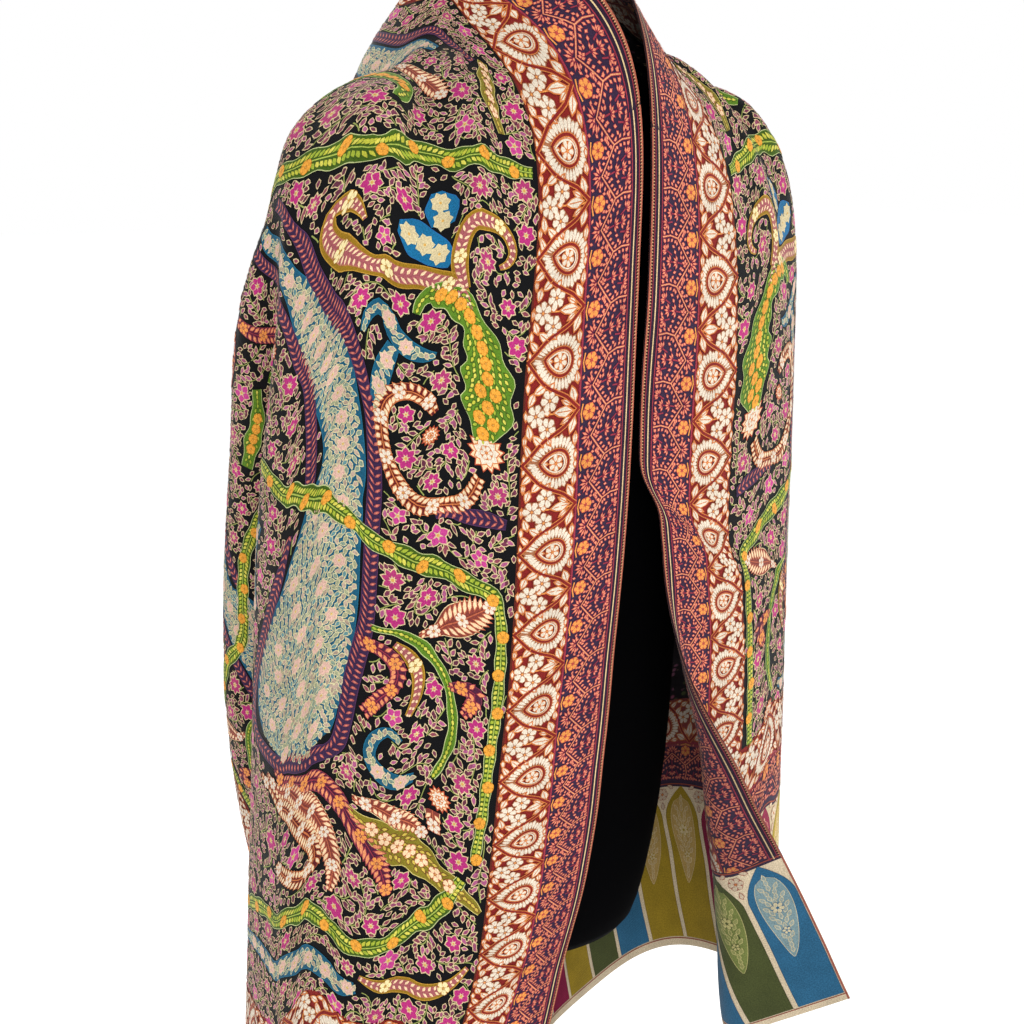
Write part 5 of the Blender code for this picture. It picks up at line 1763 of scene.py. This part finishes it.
class SHAWL_OT_ends(bpy.types.Operator):
    """Weave the arched panels and the bands across the two ends"""

    bl_idname = "shawl.ends"
    bl_label = "Ends"

    def execute(self, context):
        cloth, ornament, reverse = needed("cloth", "ornament", "reverse")
        for side, way in (("right", -1), ("left", 1)):
            for slot, inside, run, shift in (("gates", on_panels, gates_run, 0.0),
                                             ("end_band", on_end_band, end_band_run, END_SHIFT)):
                drawing = Ornament()
                run(drawing, short_end(way, shift))
                drawing.finished(f"{slot}_{side}", cloth, inside, 1, ornament, slot)
                drawing.finished(f"{slot}_{side}_reverse", cloth, inside, -1, reverse, slot)
        return {"FINISHED"}


class SHAWL_OT_field(bpy.types.Operator):
    """Weave the figures of the field and the leaves and flowers between them"""

    bl_idname = "shawl.field"
    bl_label = "Field"

    def execute(self, context):
        cloth, ornament = needed("cloth", "ornament")
        figures, cover = field_drawings(context.scene.shawl_cloth.seed)
        for name, low, high, _, _ in SHELLS[1:4]:

            def inside(along, down, low=low, high=high):
                return (along > low) & (along < high)

            for prefix, drawing in (("figures", figures), ("leaves", cover)):
                drawing.finished(name.replace("shawl", prefix), cloth, inside, 1, ornament, "field")
        return {"FINISHED"}


class SHAWL_OT_lengths(bpy.types.Operator):
    """Check that each length of cloth and the ornament woven in it have been made"""

    bl_idname = "shawl.lengths"
    bl_label = "Flat sizes"

    def execute(self, context):
        faces = ("", "_reverse")
        for name, low, high, _, _ in SHELLS:
            part = name.replace("shawl_", "")
            side = part.replace("end_", "")
            names = [f"borders_{part}{face}" for face in faces]
            if part == side:
                names += ["figures_" + part, "leaves_" + part]
            else:
                names += [f"{kind}_{side}{face}" for kind in ("gates", "end_band") for face in faces]
            missing = [other for other in (name, *names) if other not in bpy.data.objects]
            if missing:
                raise RuntimeError(f"Lay the cloth and weave its ornament first: no {', '.join(missing)}")
        return {"FINISHED"}


ROUND_SIDES = 64
MERGE_DISTANCE = 0.00002
RIM_CREASE = 0.9
FLAT_ENDS = 0.9
RECESS_RIM = 0.35


def dressed(made, finish, node):
    """Give a piece its finish and set it in the place of its solid."""
    made.data.materials.append(finish)
    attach(made, "root")
    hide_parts(node)


def rounded_copy(node, name, finish, rounding_levels):
    """A merged copy of a solid, rounded by subdivision away from its sharp rims, in the solid's place."""
    if node not in bpy.data.objects:
        raise RuntimeError(f"The packed model has no {node}")
    mesh = bpy.data.meshes.new(name)
    shape = bmesh.new()
    shape.from_mesh(bpy.data.objects[node].data)
    bmesh.ops.remove_doubles(shape, verts=shape.verts, dist=MERGE_DISTANCE)
    bmesh.ops.join_triangles(shape, faces=shape.faces, angle_face_threshold=math.radians(30),
                             angle_shape_threshold=math.radians(40))
    bmesh.ops.recalc_face_normals(shape, faces=shape.faces)
    sharpness = shape.edges.layers.float.new("crease_edge")
    for edge in shape.edges:
        if edge.is_manifold and edge.calc_face_angle() > SHARP_ANGLE:
            edge[sharpness] = RIM_CREASE
    shape.to_mesh(mesh)
    shape.free()
    made = bpy.data.objects.new(name, mesh)
    bpy.context.scene.collection.objects.link(made)
    rounding = made.modifiers.new("Rounding", "SUBSURF")
    rounding.levels = rounding.render_levels = rounding_levels
    mesh.shade_smooth()
    dressed(made, finish, node)
    return made


def turned_piece(node, name, radius, hollow, bevel, finish):
    """An upright round piece with eased rims, its two flat ends each with a shallow turned recess."""
    low, high = BOXES[node]
    bpy.ops.object.select_all(action="DESELECT")
    bpy.ops.mesh.primitive_cylinder_add(vertices=ROUND_SIDES, radius=radius, depth=high.z - low.z,
                                        location=(low + high) / 2, calc_uvs=False)
    made = bpy.context.object
    made.name = name
    bpy.ops.object.transform_apply(location=True, rotation=True, scale=True)
    for way in (-1, 1):
        bpy.ops.object.mode_set(mode="EDIT")
        bpy.ops.mesh.select_mode(type="FACE")
        bpy.ops.mesh.select_all(action="DESELECT")
        bpy.ops.object.mode_set(mode="OBJECT")
        for face in made.data.polygons:
            face.select = face.normal.z * way > FLAT_ENDS
        bpy.ops.object.mode_set(mode="EDIT")
        bpy.ops.mesh.inset(thickness=radius * RECESS_RIM)
        bpy.ops.mesh.inset(thickness=hollow)
        bpy.ops.transform.translate(value=(0, 0, -way * hollow))
        bpy.ops.object.mode_set(mode="OBJECT")
    rounding = made.modifiers.new("Rounding", "BEVEL")
    rounding.width = bevel
    rounding.segments = 3
    rounding.limit_method = "ANGLE"
    rounding.angle_limit = SHARP_ANGLE
    bpy.ops.object.modifier_apply(modifier=rounding.name)
    bpy.ops.object.shade_smooth_by_angle(angle=math.radians(40))
    dressed(made, finish, node)


class SHAWL_OT_form(bpy.types.Operator):
    """Cover the torso and its neck cap in smooth black jersey"""

    bl_idname = "shawl.form"
    bl_label = "Form"

    def execute(self, context):
        settings = context.scene.shawl_form
        jersey = grained("Black jersey", settings.jersey, 1400.0, 0.3, 0.15, 0.95, 0.02)
        torso = rounded_copy("form_torso", "form", jersey, settings.rounding)
        turned_piece("neck_cap", "form_neck_cap", half_across("neck_cap"), 0.0004, 0.003, jersey)
        return {"FINISHED"}


class SHAWL_OT_stand(bpy.types.Operator):
    """Turn the pole, the collar and the round base"""

    bl_idname = "shawl.stand"
    bl_label = "Stand"

    def execute(self, context):
        settings = context.scene.shawl_stand
        metal = grained("Black metal", settings.metal, 900.0, 0.2, 0.12, 0.38, 0.4)
        for name, radius, hollow, bevel in (
            ("pole", settings.pole_radius, 0.0004, 0.0008),
            ("collar", settings.collar_radius, 0.0008, 0.003),
            ("base", settings.base_radius, 0.0006, 0.003),
        ):
            turned_piece("stand_" + name, name, radius, hollow, bevel, metal)
        return {"FINISHED"}


FLOOR_SIZE = 40
PALE = (0.965, 0.965, 0.965, 1)
WHITE = (1, 1, 1, 1)
FRAME_WIDTH = 36
FRAME_SHIFT = -1 / 64
LIT_PLACE = Vector((0, 0, 1.1))
# Name, place, size and power in watts of each soft light.
LIGHTS = (
    ("key light", (-1.6, -2.6, 2.9), 1.6, 55),
    ("fill light", (2.2, -1.8, 2.0), 1.8, 25),
    ("back light", (0.3, 2.4, 2.6), 1.6, 30),
)


class SHAWL_OT_studio(bpy.types.Operator):
    """Set the pale floor, the soft lights and the camera"""

    bl_idname = "shawl.studio"
    bl_label = "Studio"

    def execute(self, context):
        scene = context.scene
        settings = scene.shawl_studio
        bpy.ops.object.select_all(action="DESELECT")
        bpy.ops.mesh.primitive_plane_add(size=FLOOR_SIZE, location=(0, 0, BOXES["stand_base"][0].z))
        floor = context.object
        floor.name = "floor"
        pale, tree = new_material("Pale floor")
        shader = new_node(tree, "BsdfPrincipled", {
            "Base Color": PALE, "Roughness": 0.9, "Specular IOR Level": 0.12, "Emission Color": WHITE,
            "Emission Strength": settings.floor_glow})
        new_node(tree, "OutputMaterial", {"Surface": shader.outputs["BSDF"]})
        floor.data.materials.append(pale)
        world = scene.world or bpy.data.worlds.new("Studio")
        scene.world = world
        world.use_nodes = True
        tree = world.node_tree
        path = new_node(tree, "LightPath")
        strength = ranged(tree, path.outputs["Is Camera Ray"], to_low=settings.sky, to_high=1.0)
        background = tree.nodes["Background"].inputs
        background["Color"].default_value = WHITE
        tree.links.new(strength, background["Strength"])
        scene.view_settings.view_transform = "Standard"
        for name, place, across, power in LIGHTS:
            bpy.ops.object.light_add(type="AREA", location=place)
            light = context.object
            light.name = name
            light.data.size = across
            light.data.energy = power
            light.rotation_euler = (LIT_PLACE - Vector(place)).to_track_quat("-Z", "Y").to_euler()
        bpy.ops.object.camera_add()
        camera = context.object
        camera.name = "camera"
        away = settings.distance
        camera.location = (math.sin(settings.turn) * away, -math.cos(settings.turn) * away, settings.height)
        camera.rotation_euler = (math.pi / 2 - settings.tilt, 0, settings.turn)
        camera.data.lens = settings.lens
        camera.data.sensor_width = FRAME_WIDTH
        camera.data.shift_x = FRAME_SHIFT
        scene.camera = camera
        return {"FINISHED"}


STEPS = (SHAWL_OT_cloth, SHAWL_OT_borders, SHAWL_OT_ends, SHAWL_OT_field, SHAWL_OT_lengths, SHAWL_OT_form,
         SHAWL_OT_stand, SHAWL_OT_studio)


class SHAWL_PT_tools(bpy.types.Panel):
    """The sizes and colours of the shawl, its form and its stand, and a button for each step"""

    bl_idname = "SHAWL_PT_tools"
    bl_label = "Pashmina Shawl"
    bl_space_type = "VIEW_3D"
    bl_region_type = "UI"
    bl_category = "Shawl"

    def draw(self, context):
        for group, kind, title in SETTINGS:
            box = self.layout.box()
            box.label(text=title)
            for setting in kind.__annotations__:
                box.prop(getattr(context.scene, group), setting)
        for step in STEPS:
            self.layout.operator(step.bl_idname)


CLASSES = (*(kind for _, kind, _ in SETTINGS), *STEPS, SHAWL_PT_tools)


def register():
    for kind in CLASSES:
        bpy.utils.register_class(kind)
    for group, kind, _ in SETTINGS:
        setattr(bpy.types.Scene, group, PointerProperty(type=kind))


def unregister():
    for group, _, _ in SETTINGS:
        delattr(bpy.types.Scene, group)
    for kind in reversed(CLASSES):
        bpy.utils.unregister_class(kind)


def main():
    register()
    bpy.ops.shawl.cloth()
    bpy.ops.shawl.borders()
    bpy.ops.shawl.ends()
    bpy.ops.shawl.field()
    bpy.ops.shawl.lengths()
    bpy.ops.shawl.form()
    bpy.ops.shawl.stand()
    bpy.ops.shawl.studio()


if __name__ == "__main__":
    main()
